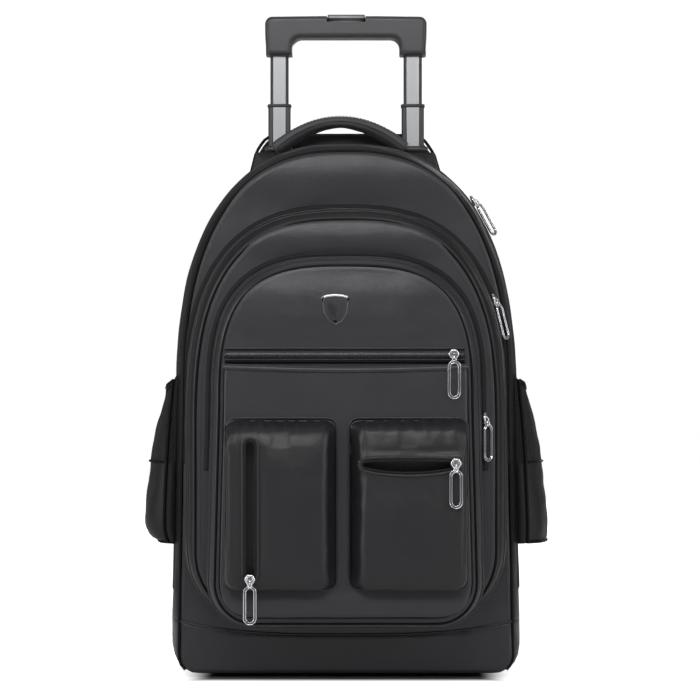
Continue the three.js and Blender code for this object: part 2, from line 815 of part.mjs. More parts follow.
// Grip: a bar on two legs that take the inner tubes, with a push button in its top
function gripSolid() {
  const centreZ = gripBottom + gripHeight / 2;
  const y = tubeSetback + gap;
  const half = gripDepth / 2;
  const ring = (grow, at) => (
    roundedRectangle(gripWidth + 2 * grow, gripHeight + 2 * grow, gripCorner, 3, 0, centreZ)
      .map(([x, z]) => [x, at, z])
  );
  const body = solid(loft([
    ring(-gripEdge, y + half),
    ring(0, y + half - gripSoften),
    ring(0, y - half + gripSoften),
    ring(-gripEdge, y - half),
  ]));
  const opening = gripWidth - 2 * gripLeg;
  const mouth = 2 * (gripHeight - gripBar);
  const mouthOutline = roundedRectangle(opening, mouth, gripLipRadius, 3, 0, gripBottom);
  const hole = solid(bar(mouthOutline, 'y', y - gripDepth, y + gripDepth));
  let grip = body.subtract(hole);
  for (const side of [-1, 1]) {
    const socket = bar(tubeOutline(innerTube, side * tubeX, gap), 'z', 0, gripBottom + gripSocket);
    grip = grip.subtract(solid(socket));
  }
  const recess = bar(buttonOutline(gap), 'z', gripTop - buttonHeight - buttonTravel, beyond);
  return grip.subtract(solid(recess));
}

function buttonOutline(grow) {
  const outline = roundedRectangle(buttonWidth + 2 * grow, buttonDepth + 2 * grow, buttonCorner, 3);
  return outline.map(([x, y]) => [x, y + tubeSetback + gap]);
}

add('grip', geometryOf(gripSolid()), finish.grip);
add('grip_button', bar(buttonOutline(0), 'z', gripTop - buttonHeight + gap, gripTop + buttonProud), finish.plastic);

// Kick plate, wheel housings, axles, wheels and feet
const kickHalf = wheelX - housingHalf - gap;
const kickPlate = block([-kickHalf, gap, kickBottom], [kickHalf, housingRear, kickTop]).subtract(bothSockets);
add('kick_plate', geometryOf(kickPlate), finish.plastic);

function housing(side) {
  const centre = side * wheelX;
  const [near, far] = [centre - housingHalf, centre + housingHalf];
  const skin = solid(bar(wheelArch(housingRadius, kickBottom, housingRear), 'x', near, far));
  const roomOutline = wheelArch(housingRadius - cheek, -wheelRadius, beyond);
  const room = solid(bar(roomOutline, 'x', near + cheek, far - cheek));
  const axleHole = new THREE.CylinderGeometry(axleRadius + gap, axleRadius + gap, 4 * housingHalf, 12);
  axleHole.rotateZ(Math.PI / 2);
  axleHole.translate(centre, wheelSetback, wheelRadius);
  return skin.subtract(room).subtract(solid(axleHole));
}

// A wheel part turned about the axle
function turned(profile, side, segments = 24) {
  const points = [...profile, profile[0]].map(([radius, across]) => new THREE.Vector2(radius, across));
  const geometry = new THREE.LatheGeometry(points, segments);
  geometry.rotateZ(Math.PI / 2);
  geometry.translate(side * wheelX, wheelSetback, wheelRadius);
  return geometryOf(solid(geometry));
}

const tyreInner = wheelRadius - tyreThickness;
const wheelHalf = wheelWidth / 2;
const hubSide = wheelHalf - 0.5;
const rimSide = wheelHalf - 2;
const bossRadius = axleRadius + 5;
const rimRadius = tyreInner - gap;
const tyreHalfProfile = [[wheelRadius, wheelHalf - 5], [wheelRadius - 4, wheelHalf], [tyreInner, rimSide]];
const hubHalfProfile = [
  [rimRadius, rimSide], [rimRadius - hubWeb, hubWeb], [bossRadius + 1, hubWeb],
  [bossRadius, hubSide], [axleRadius + gap, hubSide],
];
const bothSides = (half) => [...half.map(([r, a]) => [r, -a]).reverse(), ...half];

for (const [side, word] of [[-1, 'left'], [1, 'right']]) {
  add(`wheel_housing_${word}`, geometryOf(housing(side)), finish.plastic);
  add(`tyre_${word}`, turned(bothSides(tyreHalfProfile), side), finish.rubber);
  add(`hub_${word}`, turned(bothSides(hubHalfProfile), side), finish.plastic);
  const axle = new THREE.CylinderGeometry(axleRadius, axleRadius, 2 * housingHalf - 1, 12);
  axle.rotateZ(Math.PI / 2);
  axle.translate(side * wheelX, wheelSetback, wheelRadius);
  add(`axle_${word}`, geometryOf(solid(axle)), finish.chrome);
  const footY = mainFront + main.roll + footInsetY;
  const foot = roundedRectangle(footWidth, footLength, 6, 2, side * footX, footY + footLength / 2);
  add(`foot_${word}`, bar(foot, 'z', 0, floorGap - gap), finish.rubber);
}

// Back panel: padded, as wide as the main compartment, with a hump that the tubes come out of
const backForm = { ...main.form, bottom: kickTop + gap + backInset, top: mainTop - humpRise };
const backRing = (grow, y) => bagOutline(backForm, grow - backInset).map(([x, z]) => [x, y, z]);
const humpSide = [
  [humpHalfFoot, humpFoot], [humpHalfTop + 8, backTop - 1.5 * humpRise],
  [humpHalfTop, backTop - 0.5 * humpRise], [humpHalfTop - 7, backTop],
];
const humpRing = (grow, y) => {
  const right = humpSide.map(([x, z]) => [x + grow, y, z]);
  return [...right, ...mirrored(right).reverse()];
};
const panelSteps = [[-5, backFace], [0, backFace - 7], [0, gap + 3], [-2, gap]];
const backPanel = solid(loft(panelSteps.map(([grow, y]) => backRing(grow, y))))
  .add(solid(loft(panelSteps.map(([grow, y]) => humpRing(grow, y)))))
  .subtract(bothSockets)
  .subtract(humpNotch(-1))
  .subtract(humpNotch(1))
  .subtract(notches);
add('back_panel', geometryOf(backPanel), finish.darkCloth);

const lumbarZ = lumbarBottom + lumbarHeight / 2;
const lumbarRing = (grow, y) => (
  roundedRectangle(lumbarWidth + 2 * grow, lumbarHeight + 2 * grow, lumbarCorner, 3, 0, lumbarZ)
    .map(([x, z]) => [x, y, z])
);
const lumbarBack = backFace + gap;
const lumbarFace = lumbarBack + lumbarThickness;
add('lumbar_pad', loft([
  lumbarRing(0, lumbarBack), lumbarRing(0, lumbarFace - 4), lumbarRing(-5, lumbarFace),
]), finish.net);

// A flat strap lofted along its stations, each a place and a width
function strapAlong(stations, thickness) {
  const at = stations.map(({ place }) => new THREE.Vector3(...place));
  const rings = stations.map(({ width }, i) => {
    const ahead = at[Math.min(i + 1, at.length - 1)].clone().sub(at[Math.max(i - 1, 0)]).normalize();
    const across = ahead.clone().cross(new THREE.Vector3(0, 1, 0)).normalize();
    const out = across.clone().cross(ahead).normalize();
    return roundedRectangle(width, thickness, thickness * 0.45, 2).map(([a, b]) => {
      const point = at[i].clone().addScaledVector(across, a).addScaledVector(out, b);
      return [point.x, point.y, point.z];
    });
  });
  return loft(rings);
}

const strapSteps = 14;
function shoulderStrap(side) {
  const stations = [];
  for (let i = 0; i <= strapSteps; i++) {
    const t = i / strapSteps;
    const x = lerp(strapTopX, strapBottomX, t ** 0.9);
    const lift = strapRise * Math.sin(Math.PI * t) ** 0.8;
    const y = backFace + 2 * gap + strapThickness / 2 + lift;
    const z = lerp(strapTop, strapBottom, t);
    stations.push({ place: [side * x, y, z], width: lerp(strapTopWidth, strapEndWidth, t) });
  }
  return strapAlong(stations, strapThickness);
}

function strapBuckle(side) {
  const x = side * (strapBottomX + buckleOffset);
  const z = strapBottom - buckleDrop - buckleHeight / 2;
  const near = backFace + gap;
  const frame = roundedRectangle(webbingWidth + 10, buckleHeight, 4, 2, x, z);
  const hole = roundedRectangle(webbingWidth + 1, 6, 1, 1, x, z);
  return solid(bar(frame, 'y', near, near + buckleThickness))
    .subtract(solid(bar(hole, 'y', 0, beyond)));
}

function strapWebbing(side) {
  const start = strapBottom - buckleDrop - buckleHeight - 1.5 * webbingThickness;
  const steps = 5;
  const stations = [];
  for (let i = 0; i <= steps; i++) {
    const t = i / steps;
    const y = backFace + 2 * gap + webbingThickness / 2;
    const x = lerp(strapBottomX + 2 * buckleOffset, webbingEndX, t);
    stations.push({ place: [side * x, y, lerp(start, webbingEndZ, t)], width: webbingWidth });
  }
  return strapAlong(stations, webbingThickness);
}

for (const [side, word] of [[-1, 'left'], [1, 'right']]) {
  add(`shoulder_strap_${word}`, shoulderStrap(side), finish.darkCloth);
  add(`strap_buckle_${word}`, geometryOf(strapBuckle(side)), finish.plastic);
  add(`strap_webbing_${word}`, strapWebbing(side), finish.webbing);
}

// Zip sliders, each a tapered body with a ring pull hanging from it
const sliderShape = [[-0.5, 0.5], [-0.5, 0.1], [-0.34, -0.5], [0.34, -0.5], [0.5, 0.1], [0.5, 0.5]];

function sliderGeometry(reach) {
  const outline = sliderShape.map(([x, z]) => [x * sliderWidth, z * sliderLength]);
  const body = solid(bar(outline, 'y', 0, -sliderThickness));
  const bailOut = sliderThickness + Math.max(bailHeight, reach - bailHeight);
  const bail = block([-1, -bailOut, -0.44 * sliderLength], [1, -sliderThickness / 2, 0.28 * sliderLength]);
  return geometryOf(body.add(bail));
}

function pullGeometry() {
  const oval = (width, length) => roundedRectangle(width, length, 0.499 * width, 4);
  const outer = oval(pullWidth, pullLength);
  const inner = oval(pullWidth - 2 * pullRim, pullLength - 2 * pullRim);
  const ring = solid(bar(outer, 'y', 0, -pullThickness));
  return geometryOf(ring.subtract(solid(bar(inner, 'y', pullThickness, -2 * pullThickness))));
}

const middleRim = bagOutline(layers.middle.form);
const frontRim = bagOutline(layers.front.form);
const mainRim = bagOutline(layers.main.form);
const proud = gap + zipThickness;
const sliderProud = 1.6;

// The lean from upright of a layer's edge below a height, in degrees, for a pull that lies on it
function edgeLean(rim, z) {
  const lower = z - sliderLength / 2 - pullLength;
  return THREE.MathUtils.radToDeg(Math.atan2(edgeX(rim, lower) - edgeX(rim, z), z - lower));
}

const frontProud = smallPocketFace - gap - zipThickness - gap;
const sliders = [
  {
    name: 'main', x: edgeX(mainRim, mainSliderZ) + sliderProud, y: -mainDepth * mainZipDepth, z: mainSliderZ,
    turn: 90, tilt: edgeLean(mainRim, mainSliderZ),
  },
  {
    name: 'middle', x: edgeX(middleRim, middleZipOpen) + proud + 2 * gap, y: middleBack - 6, z: middleZipOpen,
    turn: 90, tilt: edgeLean(middleRim, middleZipOpen),
  },
  {
    name: 'front', x: edgeX(frontRim, frontZipOpen) + proud + sliderProud, y: frontBack - 6, z: frontZipOpen,
    turn: 75, tilt: 0,
  },
  {
    name: 'tablet', x: tabletZipHalf - zipWidth / 2, y: tabletBack - zipThickness - gap, z: tabletZipZ,
    turn: 0, tilt: 0, reach: tabletPullReach,
  },
  {
    name: 'pocket_left', x: leftSlitX, y: frontProud, z: smallPocketMiddle - leftSlitLength / 2 - 1,
    turn: 0, tilt: 0,
  },
  {
    name: 'pocket_right', x: rightPocketX + rightSlitHalf + 1, y: frontProud, z: rightSlitZ + 1,
    turn: 0, tilt: 0,
  },
];

for (const { name, x, y, z, turn, tilt, reach = 0 } of sliders) {
  const group = new THREE.Group();
  group.position.set(x, y, z);
  group.rotation.set(0, 0, THREE.MathUtils.degToRad(turn));
  const hang = new THREE.Group();
  hang.rotation.set(THREE.MathUtils.degToRad(-tilt), 0, 0);
  group.add(hang);
  const slider = new THREE.Mesh(sliderGeometry(reach), finish.chrome);
  slider.name = `slider_${name}`;
  const pull = new THREE.Mesh(pullGeometry(), finish.chrome);
  pull.name = `pull_${name}`;
  pull.position.set(0, -sliderThickness * 0.4 - reach, -sliderLength / 2 - gap - pullLength / 2);
  hang.add(slider, pull);
  model.add(group);
}

// Stand the model with its origin under the middle of its box
const extent = new THREE.Box3().setFromObject(model);
const centre = extent.getCenter(new THREE.Vector3());
model.position.set(-centre.x, -centre.y, -extent.min.z);

export default model;
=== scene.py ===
# %% [markdown]
# # A wheeled backpack in Blender
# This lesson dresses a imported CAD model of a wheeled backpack: cloth compartments, zips, padded
# straps, a pull handle and wheels. The CAD model is a fixed frame, in metres, and every piece goes
# where the frame says. It is loaded first, because every place that follows is read from it.

# %% Load the frame
from math import atan2, copysign, cos, pi, radians, sin, sqrt

import bmesh
import bpy
from mathutils import Matrix, Vector, noise


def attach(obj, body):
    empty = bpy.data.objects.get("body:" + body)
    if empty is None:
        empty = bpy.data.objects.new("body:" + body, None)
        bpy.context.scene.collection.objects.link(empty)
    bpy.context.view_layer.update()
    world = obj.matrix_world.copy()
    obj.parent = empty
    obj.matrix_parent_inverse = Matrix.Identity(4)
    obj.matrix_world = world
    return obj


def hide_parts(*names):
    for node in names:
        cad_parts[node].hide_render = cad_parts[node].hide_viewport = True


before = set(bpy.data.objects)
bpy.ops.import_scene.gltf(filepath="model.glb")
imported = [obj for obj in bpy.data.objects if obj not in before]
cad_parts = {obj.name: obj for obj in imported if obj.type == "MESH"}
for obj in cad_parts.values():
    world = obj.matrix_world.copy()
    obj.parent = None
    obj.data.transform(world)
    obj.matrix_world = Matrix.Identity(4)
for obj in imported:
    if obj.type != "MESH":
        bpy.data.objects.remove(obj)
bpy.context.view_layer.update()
mm = 0.001
front_way = Vector((0, -1, 0))
both_sides = ((-1, "left"), (1, "right"))
print("nodes in the frame:", len(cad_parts))

# %% [markdown]
# ## Camera
# The bag was photographed level and straight from the front, from about two metres away. A long
# lens keeps the upright edges parallel, so the camera looks along +Y at a third of the bag's height.

# %% Camera
lens_length = 115
camera_place = (0.0037, -2.055, 0.299)
camera_data = bpy.data.cameras.new("studio_camera")
camera_data.lens = lens_length
camera_data.sensor_width = 36
camera = bpy.data.objects.new("studio_camera", camera_data)
camera.location = camera_place
camera.rotation_euler = (pi / 2, 0, 0)
bpy.context.scene.collection.objects.link(camera)
bpy.context.scene.camera = camera
print("camera", camera_place, "lens", lens_length)

# %% [markdown]
# ## Mesh helpers
# Most of the bag is sewn from panels that follow one outline: rounded bottom corners, upright sides
# and an arched top. So one helper draws that outline, another spreads points evenly along it, and
# a third skins a stack of such rings. Sizes are written in millimetres and turned into metres once.

# %% Helpers for places and rings
def lerp(a, b, t):
    return a + (b - a) * t


def smooth(low, high, value):
    """0 at low and 1 at high, whichever is larger, with a soft start and end."""
    t = min(max((value - low) / (high - low), 0), 1)
    return t * t * (3 - 2 * t)


def bag_outline(form, grow=0.0, fall=None):
    """Half-rounded bag outline as (x, z) points, from the middle of the bottom round to it again."""
    fall = grow if fall is None else fall
    foot, half = form["foot"] + grow, form["half"] + grow
    low, high = form["bottom"] - fall, form["top"] + grow
    radius = max(form["corner"] + grow, 1)
    right = []
    for i in range(13):
        angle = i / 12 * pi / 2
        right.append((foot - radius * (1 - sin(angle)), low + radius * (1 - cos(angle))))
    for i in range(1, 12):
        t = i / 12
        right.append((lerp(foot, half, t), lerp(low + radius, form["spring"], t)))
    for i in range(48):
        angle = i / 48 * pi / 2
        power = 2 / form["square"]
        x = half * cos(angle) ** power
        right.append((x, form["spring"] + (high - form["spring"]) * sin(angle) ** power))
    left = [(-x, z) for x, z in reversed(right)]
    return [(0, low), *right, (0, high), *left]


def spread(points, count, closed=True):
    """The same line with its points spread evenly."""
    line = [Vector(p) for p in points]
    if closed:
        line.append(line[0])
    lengths = [0.0]
    for a, b in zip(line, line[1:]):
        lengths.append(lengths[-1] + (b - a).length)
    steps = count if closed else count - 1
    result, k = [], 0
    for i in range(count):
        target = lengths[-1] * i / steps
        while k < len(lengths) - 2 and lengths[k + 1] < target:
            k += 1
        span = lengths[k + 1] - lengths[k]
        result.append(line[k].lerp(line[k + 1], (target - lengths[k]) / span if span else 0))
    return result


def upright(flat, y):
    """Flat points as a ring that stands at one depth."""
    return [Vector((p[0], y, p[1])) for p in flat]


def level(flat, z):
    """Flat points as a ring that lies at one height."""
    return [Vector((p[0], p[1], z)) for p in flat]


def angles(count, first=0.0):
    return [(i + first) / count * 2 * pi for i in range(count)]


def round_box(cx, cy, half_x, half_y, count, powers=(0.4, 0.4), inset=0, first=0.0):
    """A flat box with round corners. The smaller the powers are, the squarer it is."""
    return [
        (
            cx + copysign(half_x * abs(cos(a)) ** powers[0] - inset, cos(a)),
            cy + copysign(half_y * abs(sin(a)) ** powers[1] - inset, sin(a)),
        )
        for a in angles(count, first)
    ]


def outline_ring(form, y, inset=0.0, fall=None, count=200):
    """An evenly spread ring of the outline, moved in by inset, at one depth y."""
    return upright(spread(bag_outline(form, -inset, None if fall is None else -fall), count), y)


def width_at(form, z, grow=0.0):
    """Half of the outline's width at height z."""
    line = bag_outline(form, grow)
    best = 0
    for a, b in zip(line, line[1:]):
        if min(a[1], b[1]) <= z <= max(a[1], b[1]) and a[0] >= 0 and a[1] != b[1]:
            best = max(best, lerp(a[0], b[0], (z - a[1]) / (b[1] - a[1])))
    return best


# %% Helpers that make objects
def link(name, mesh):
    piece = bpy.data.objects.new(name, mesh)
    bpy.context.scene.collection.objects.link(piece)
    return piece


def make(name, shape, material, merge=0.02):
    """A smooth-shaded piece from a shape: its corners in millimetres and its faces."""
    corners, faces = shape
    mesh = bpy.data.meshes.new(name)
    mesh.from_pydata([Vector(c) * mm for c in corners], [], faces)
    work = bmesh.new()
    work.from_mesh(mesh)
    if merge:
        bmesh.ops.remove_doubles(work, verts=work.verts, dist=merge * mm)
        bmesh.ops.dissolve_degenerate(work, edges=work.edges, dist=0.001 * mm)
    bmesh.ops.recalc_face_normals(work, faces=work.faces)
    for face in work.faces:
        face.smooth = True
    work.to_mesh(mesh)
    work.free()
    piece = link(name, mesh)
    mesh.materials.append(material)
    return piece


def skin(rings, closed=True):
    """Faces through rings of equal length."""
    count = len(rings[0])
    corners = [p for ring in rings for p in ring]
    faces = []
    for r in range(len(rings) - 1):
        for i in range(count if closed else count - 1):
            j = (i + 1) % count
            faces.append((r * count + i, r * count + j, (r + 1) * count + j, (r + 1) * count + i))
    return corners, faces


def capped(rings):
    """Faces through rings, with both ends closed by a fan."""
    corners, faces = skin(rings)
    count = len(rings[0])
    for start in (0, (len(rings) - 1) * count):
        middle = Vector((0, 0, 0))
        for i in range(count):
            middle += Vector(corners[start + i]) / count
        corners.append(middle)
        for i in range(count):
            faces.append((start + i, start + (i + 1) % count, len(corners) - 1))
    return corners, faces


def inward(ring, steps, low, high, power=1.0, x=0):
    """Rings that close a face: they shrink on to an upright seam between two heights."""
    bottom = min(p.z for p in ring)
    top = max(p.z for p in ring)
    rings = []
    for k in range(1, steps + 1):
        row = []
        for p in ring:
            middle = Vector((x, p.y, lerp(low, high, (p.z - bottom) / (top - bottom))))
            row.append(p.lerp(middle, (k / steps) ** power))
        rings.append(row)
    return rings


def modify(piece, kind, **settings):
    """Adds a modifier and gives it its settings."""
    made = piece.modifiers.new(kind.lower(), kind)
    for key, value in settings.items():
        setattr(made, key, value)
    return made


def apply_modifiers(piece):
    """Turns the piece's modifiers into plain mesh."""
    graph = bpy.context.evaluated_depsgraph_get()
    solid = bpy.data.meshes.new_from_object(piece.evaluated_get(graph))
    old = piece.data
    piece.modifiers.clear()
    piece.data = solid
    bpy.data.meshes.remove(old)
    return piece


def thicken(piece, thickness, offset=-1.0):
    modify(piece, "SOLIDIFY", thickness=thickness * mm, offset=offset)
    return apply_modifiers(piece)


def even_shading(piece):
    """Weights the corner normals by area, so that slivers left by a cut don't show."""
    piece.data.shade_smooth()
    modify(piece, "WEIGHTED_NORMAL", mode="FACE_AREA", weight=100, thresh=0.01, keep_sharp=True)
    return apply_modifiers(piece)


def subdivide(piece):
    modify(piece, "SUBSURF", levels=1, render_levels=1)
    return apply_modifiers(piece)


def look_to(piece, way):
    """Turns an open piece's faces over if they look away from the given way."""
    if sum(f.normal.dot(way) * f.area for f in piece.data.polygons) < 0:
        piece.data.flip_normals()


def join(name, parts):
    """Joins pieces into one, keeping each face's material."""
    work = bmesh.new()
    materials = []
    for part in parts:
        order = {}
        for k, material in enumerate(part.data.materials):
            if material not in materials:
                materials.append(material)
            order[k] = materials.index(material)
        before = len(work.faces)
        work.from_mesh(part.data)
        work.faces.ensure_lookup_table()
        for face in work.faces[before:]:
            face.material_index = order.get(face.material_index, 0)
    mesh = bpy.data.meshes.new(name)
    work.to_mesh(mesh)
    work.free()
    for material in materials:
        mesh.materials.append(material)
    for part in parts:
        bpy.data.objects.remove(part)
    return link(name, mesh)


def place(piece, body, *replaced, slot=None, padded=None):
    """Hands a finished piece to the frame: its body and what it stands for. The finish it is given is not
    used.
    """
    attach(piece, body)
    if replaced:
        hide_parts(*replaced)
    return piece


def wrinkle(p, scale, seed):
    """Smooth noise between about -1 and 1 at a point in millimetres."""
    return noise.noise(Vector((p[0] / scale + seed, p[1] / scale + seed * 2.3, p[2] / scale - seed)))

# %% [markdown]
# ## Shader groups
# Several finishes share the same effects, so each effect is one node group with named sockets:
# a woven grid of threads, a mottle that varies the colour over a few centimetres, a moulded
# grain and a wear mask for edges. Each material places the groups with its own values. They read
# Object coordinates, so a pattern stays put on its piece.

# %% Node helpers
float_socket = "NodeSocketFloat"


def feed(tree, target, feeds):
    """Gives each input a value, or a link from the socket that feeds it."""
    for key, value in feeds.items():
        if isinstance(value, bpy.types.NodeSocket):
            tree.links.new(value, target.inputs[key])
        else:
            target.inputs[key].default_value = value


def node(tree, kind, feeds=None, **settings):
    made = tree.nodes.new(kind)
    for key, value in settings.items():
        setattr(made, key, value)
    feed(tree, made, feeds or {})
    return made


def maths(tree, operation, *values):
    return node(tree, "ShaderNodeMath", dict(enumerate(values)), operation=operation).outputs[0]


def vector_maths(tree, operation, *values, **named):
    feeds = {**dict(enumerate(values)), **named}
    return node(tree, "ShaderNodeVectorMath", feeds, operation=operation).outputs[0]


def new_group(name, inputs, outputs):
    """A group that takes a Vector and some numbers and gives numbers, and the sockets of its inputs."""
    group = bpy.data.node_groups.new(name, "ShaderNodeTree")
    add = group.interface.new_socket
    add("Vector", in_out="INPUT", socket_type="NodeSocketVector")
    for label, value in inputs.items():
        add(label, in_out="INPUT", socket_type=float_socket).default_value = value
    for label in outputs:
        add(label, in_out="OUTPUT", socket_type=float_socket)
    return group, node(group, "NodeGroupInput").outputs


# %% Weave group: over and under threads on upright cloth
weave, given = new_group("woven_threads", {"Thread": 0.0007, "Twill": 0.0}, ("Height", "Shade"))
split = node(weave, "ShaderNodeSeparateXYZ", {0: given["Vector"]}).outputs
frequency = maths(weave, "DIVIDE", 2 * pi, given["Thread"])
warp_angle = maths(weave, "MULTIPLY", maths(weave, "ADD", split[0], split[1]), frequency)
weft_angle = maths(weave, "MULTIPLY", split[2], frequency)
slanted = maths(weave, "ADD", warp_angle, maths(weave, "MULTIPLY", weft_angle, given["Twill"]))
over = maths(weave, "MULTIPLY", maths(weave, "SINE", slanted), maths(weave, "SINE", weft_angle))
height = maths(weave, "MULTIPLY_ADD", over, 0.5, 0.5)
# Darker where a thread dips under another: painted shade between the threads.
shade = maths(weave, "MULTIPLY_ADD", height, 0.16, 0.92)
node(weave, "NodeGroupOutput", {"Height": height, "Shade": shade})

# %% Mottle group: slow change of shade, and creases for the bump
mottle, given = new_group("cloth_mottle", {"Scale": 14.0, "Spread": 0.2}, ("Shade", "Height"))
slow = node(mottle, "ShaderNodeTexNoise", {"Detail": 3, "Vector": given["Vector"], "Scale": given["Scale"]})
centred = maths(mottle, "SUBTRACT", slow.outputs[0], 0.5)
shade = maths(mottle, "MULTIPLY_ADD", centred, given["Spread"], 1.0)
creases = node(mottle, "ShaderNodeTexNoise", {
    "Detail": 4, "Roughness": 0.62, "Vector": given["Vector"],
    "Scale": maths(mottle, "MULTIPLY", given["Scale"], 3.1),
})
node(mottle, "NodeGroupOutput", {"Shade": shade, "Height": creases.outputs[0]})

# %% Grain group: fine moulded texture for plastic and rubber
grain, given = new_group("moulded_grain", {"Size": 0.0008}, ("Height",))
cell_scale = maths(grain, "DIVIDE", 1.0, given["Size"])
cells = node(grain, "ShaderNodeTexVoronoi", {"Vector": given["Vector"], "Scale": cell_scale})
node(grain, "NodeGroupOutput", {"Height": cells.outputs["Distance"]})

# %% Wear group: 1 on edges that stand proud, broken up by noise
wear, given = new_group("edge_wear", {"Amount": 0.5}, ("Mask",))
pointed = node(wear, "ShaderNodeNewGeometry").outputs["Pointiness"]
proud = node(wear, "ShaderNodeMapRange", {"From Min": 0.52, "From Max": 0.6, "Value": pointed})
broken = node(wear, "ShaderNodeTexNoise", {"Scale": 90, "Vector": given["Vector"]})
mask = maths(wear, "MULTIPLY", proud.outputs[0], broken.outputs[0])
node(wear, "NodeGroupOutput", {"Mask": maths(wear, "MULTIPLY", mask, given["Amount"])})

# %% [markdown]
# ## Materials
# The front panels are a satin nylon of a dark charcoal with a trace of violet. The gussets are a
# darker copy of the satin, painted shade on the sides, the straps are duller, the zips are nearly
# black, and the sliders, badge rim and tubes are bright metal. A cloth material mixes its colour
# with the mottle and the weave, and both also drive its bump; a hard material takes the grain and the wear.

# %% A new material with its shader and Object coordinates
def start_material(name, looks):
    material = bpy.data.materials.new(name)
    material.use_nodes = True
    tree = material.node_tree
    shader = tree.nodes["Principled BSDF"]
    feed(tree, shader, looks)
    return material, tree, shader, node(tree, "ShaderNodeTexCoord").outputs["Object"]


def group_node(tree, group, vector, **values):
    return node(tree, "ShaderNodeGroup", {"Vector": vector, **values}, node_tree=group).outputs


def shaded(tree, colour, *factors):
    """The colour multiplied by each factor."""
    result = node(tree, "ShaderNodeRGB").outputs[0]
    result.default_value = (*colour, 1)
    for factor in factors:
        result = vector_maths(tree, "SCALE", result, Scale=factor)
    return result


def bump(tree, shader, layers):
    """Chains bump nodes: each layer is a height, its strength and its distance in millimetres."""
    normal = {}
    for height, strength, distance in layers:
        feeds = {"Strength": strength, "Distance": distance * mm, "Height": height, **normal}
        normal = {"Normal": node(tree, "ShaderNodeBump", feeds).outputs[0]}
    feed(tree, shader, normal)


# %% Cloth materials
def cloth_material(name, colour, roughness, thread, twill=0.0, sheen=0.15, crease=0.5, specular=0.35):
    looks = {"Sheen Weight": sheen, "Sheen Roughness": 0.4, "Specular IOR Level": specular}
    material, tree, shader, place_on = start_material(name, looks)
    threads = group_node(tree, weave, place_on, Thread=thread * mm, Twill=twill)
    patches = group_node(tree, mottle, place_on, Spread=0.22)
    feed(tree, shader, {
        "Base Color": shaded(tree, colour, patches["Shade"], threads["Shade"]),
        "Roughness": maths(tree, "MULTIPLY_ADD", patches["Height"], 0.16, roughness - 0.08),
    })
    bump(tree, shader, [(patches["Height"], crease, 0.8), (threads["Height"], 0.35, 0.08)])
    return material


satin = {"twill": 1.0, "sheen": 0.02}
satin_nylon = cloth_material("satin_nylon", (0.0185, 0.0180, 0.0225), 0.38, 0.7, specular=0.6, **satin)
# A darker copy of the satin for the small pockets: painted shade on the lower front.
pocket_shade_nylon = cloth_material("pocket_shade_nylon", (0.0088, 0.0085, 0.0106), 0.4, 0.7, specular=0.5, **satin)
# A darker copy of the satin: painted shade on the sides of the compartments and on the lower half of each
# side pocket.
side_shade_nylon = cloth_material("side_shade_nylon", (0.0068, 0.0068, 0.0079), 0.44, 0.8, sheen=0.02)
# Near-black trim for bindings and piping; on the piping it also paints the shade of the grooves beside the
# cords.
trim_and_groove_shade_nylon = cloth_material("trim_and_groove_shade_nylon", (0.003, 0.003, 0.0035), 0.55, 0.9, 0.0, 0.0, 0.3, 0.15)
strap_nylon = cloth_material("strap_nylon", (0.016, 0.016, 0.0175), 0.56, 0.9, sheen=0.06)
handle_nylon = cloth_material("handle_nylon", (0.058, 0.058, 0.062), 0.5, 1.1, sheen=0.06, crease=0.9)
tape_nylon = cloth_material("zip_tape_nylon", (0.007, 0.007, 0.008), 0.7, 0.6, sheen=0.02, crease=0.15)
coil_nylon = cloth_material("zip_coil_nylon", (0.012, 0.012, 0.013), 0.42, 0.4, sheen=0.0, crease=0.1)
webbing_nylon = cloth_material("webbing_nylon", (0.010, 0.010, 0.011), 0.62, 1.6, twill=1.0, sheen=0.08)
lining_nylon = cloth_material("lining_nylon", (0.020, 0.020, 0.021), 0.7, 0.8, sheen=0.02)
thread_nylon = cloth_material("sewing_thread", (0.030, 0.030, 0.033), 0.5, 0.3, crease=0.1)


# %% Net materials: rows of round holes, painted as dark pits with a raised cord between them; the dark of the holes is painted shade
def net_material(name, colour, pitch):
    looks = {"Roughness": 0.75, "Sheen Weight": 0.03, "Specular IOR Level": 0.25}
    material, tree, shader, place_on = start_material(name, looks)
    feeds = {"Randomness": 0.12, "Scale": 1 / (pitch * mm), "Vector": place_on}
    cells = node(tree, "ShaderNodeTexVoronoi", feeds, feature="F1")
    feeds = {"From Min": 0.28, "From Max": 0.5, "Value": cells.outputs["Distance"]}
    edge = node(tree, "ShaderNodeMapRange", feeds, interpolation_type="SMOOTHSTEP").outputs[0]
    patches = group_node(tree, mottle, place_on, Spread=0.3)
    # The holes are painted dark: painted shade inside them.
    depth = maths(tree, "MULTIPLY_ADD", edge, 0.8, 0.2)
    feed(tree, shader, {"Base Color": shaded(tree, colour, depth, patches["Shade"])})
    bump(tree, shader, [(patches["Height"], 0.4, 0.8), (edge, 0.8, 0.5)])
    return material


pocket_net = net_material("pocket_net", (0.016, 0.016, 0.017), 2.4)
back_net = net_material("back_net", (0.020, 0.020, 0.022), 3.2)


# %% Moulded plastic and rubber
def moulded_material(name, colour, roughness, grain_size, grain_depth, worn=(0.05, 0.05, 0.052)):
    material, tree, shader, place_on = start_material(name, {"Specular IOR Level": 0.5})
    texture = group_node(tree, grain, place_on, Size=grain_size * mm)
    patches = group_node(tree, mottle, place_on, Scale=30.0, Spread=0.18)
    edges = group_node(tree, wear, place_on, Amount=0.8)
    feeds = {"Factor": edges["Mask"], "A": shaded(tree, colour, patches["Shade"]), "B": (*worn, 1)}
    mixed = node(tree, "ShaderNodeMix", data_type="RGBA")
    feed(tree, mixed, feeds)
    feed(tree, shader, {
        "Base Color": mixed.outputs["Result"],
        "Roughness": maths(tree, "MULTIPLY_ADD", patches["Height"], 0.2, roughness - 0.1),
    })
    bump(tree, shader, [(texture["Height"], 0.3, grain_depth)])
    return material


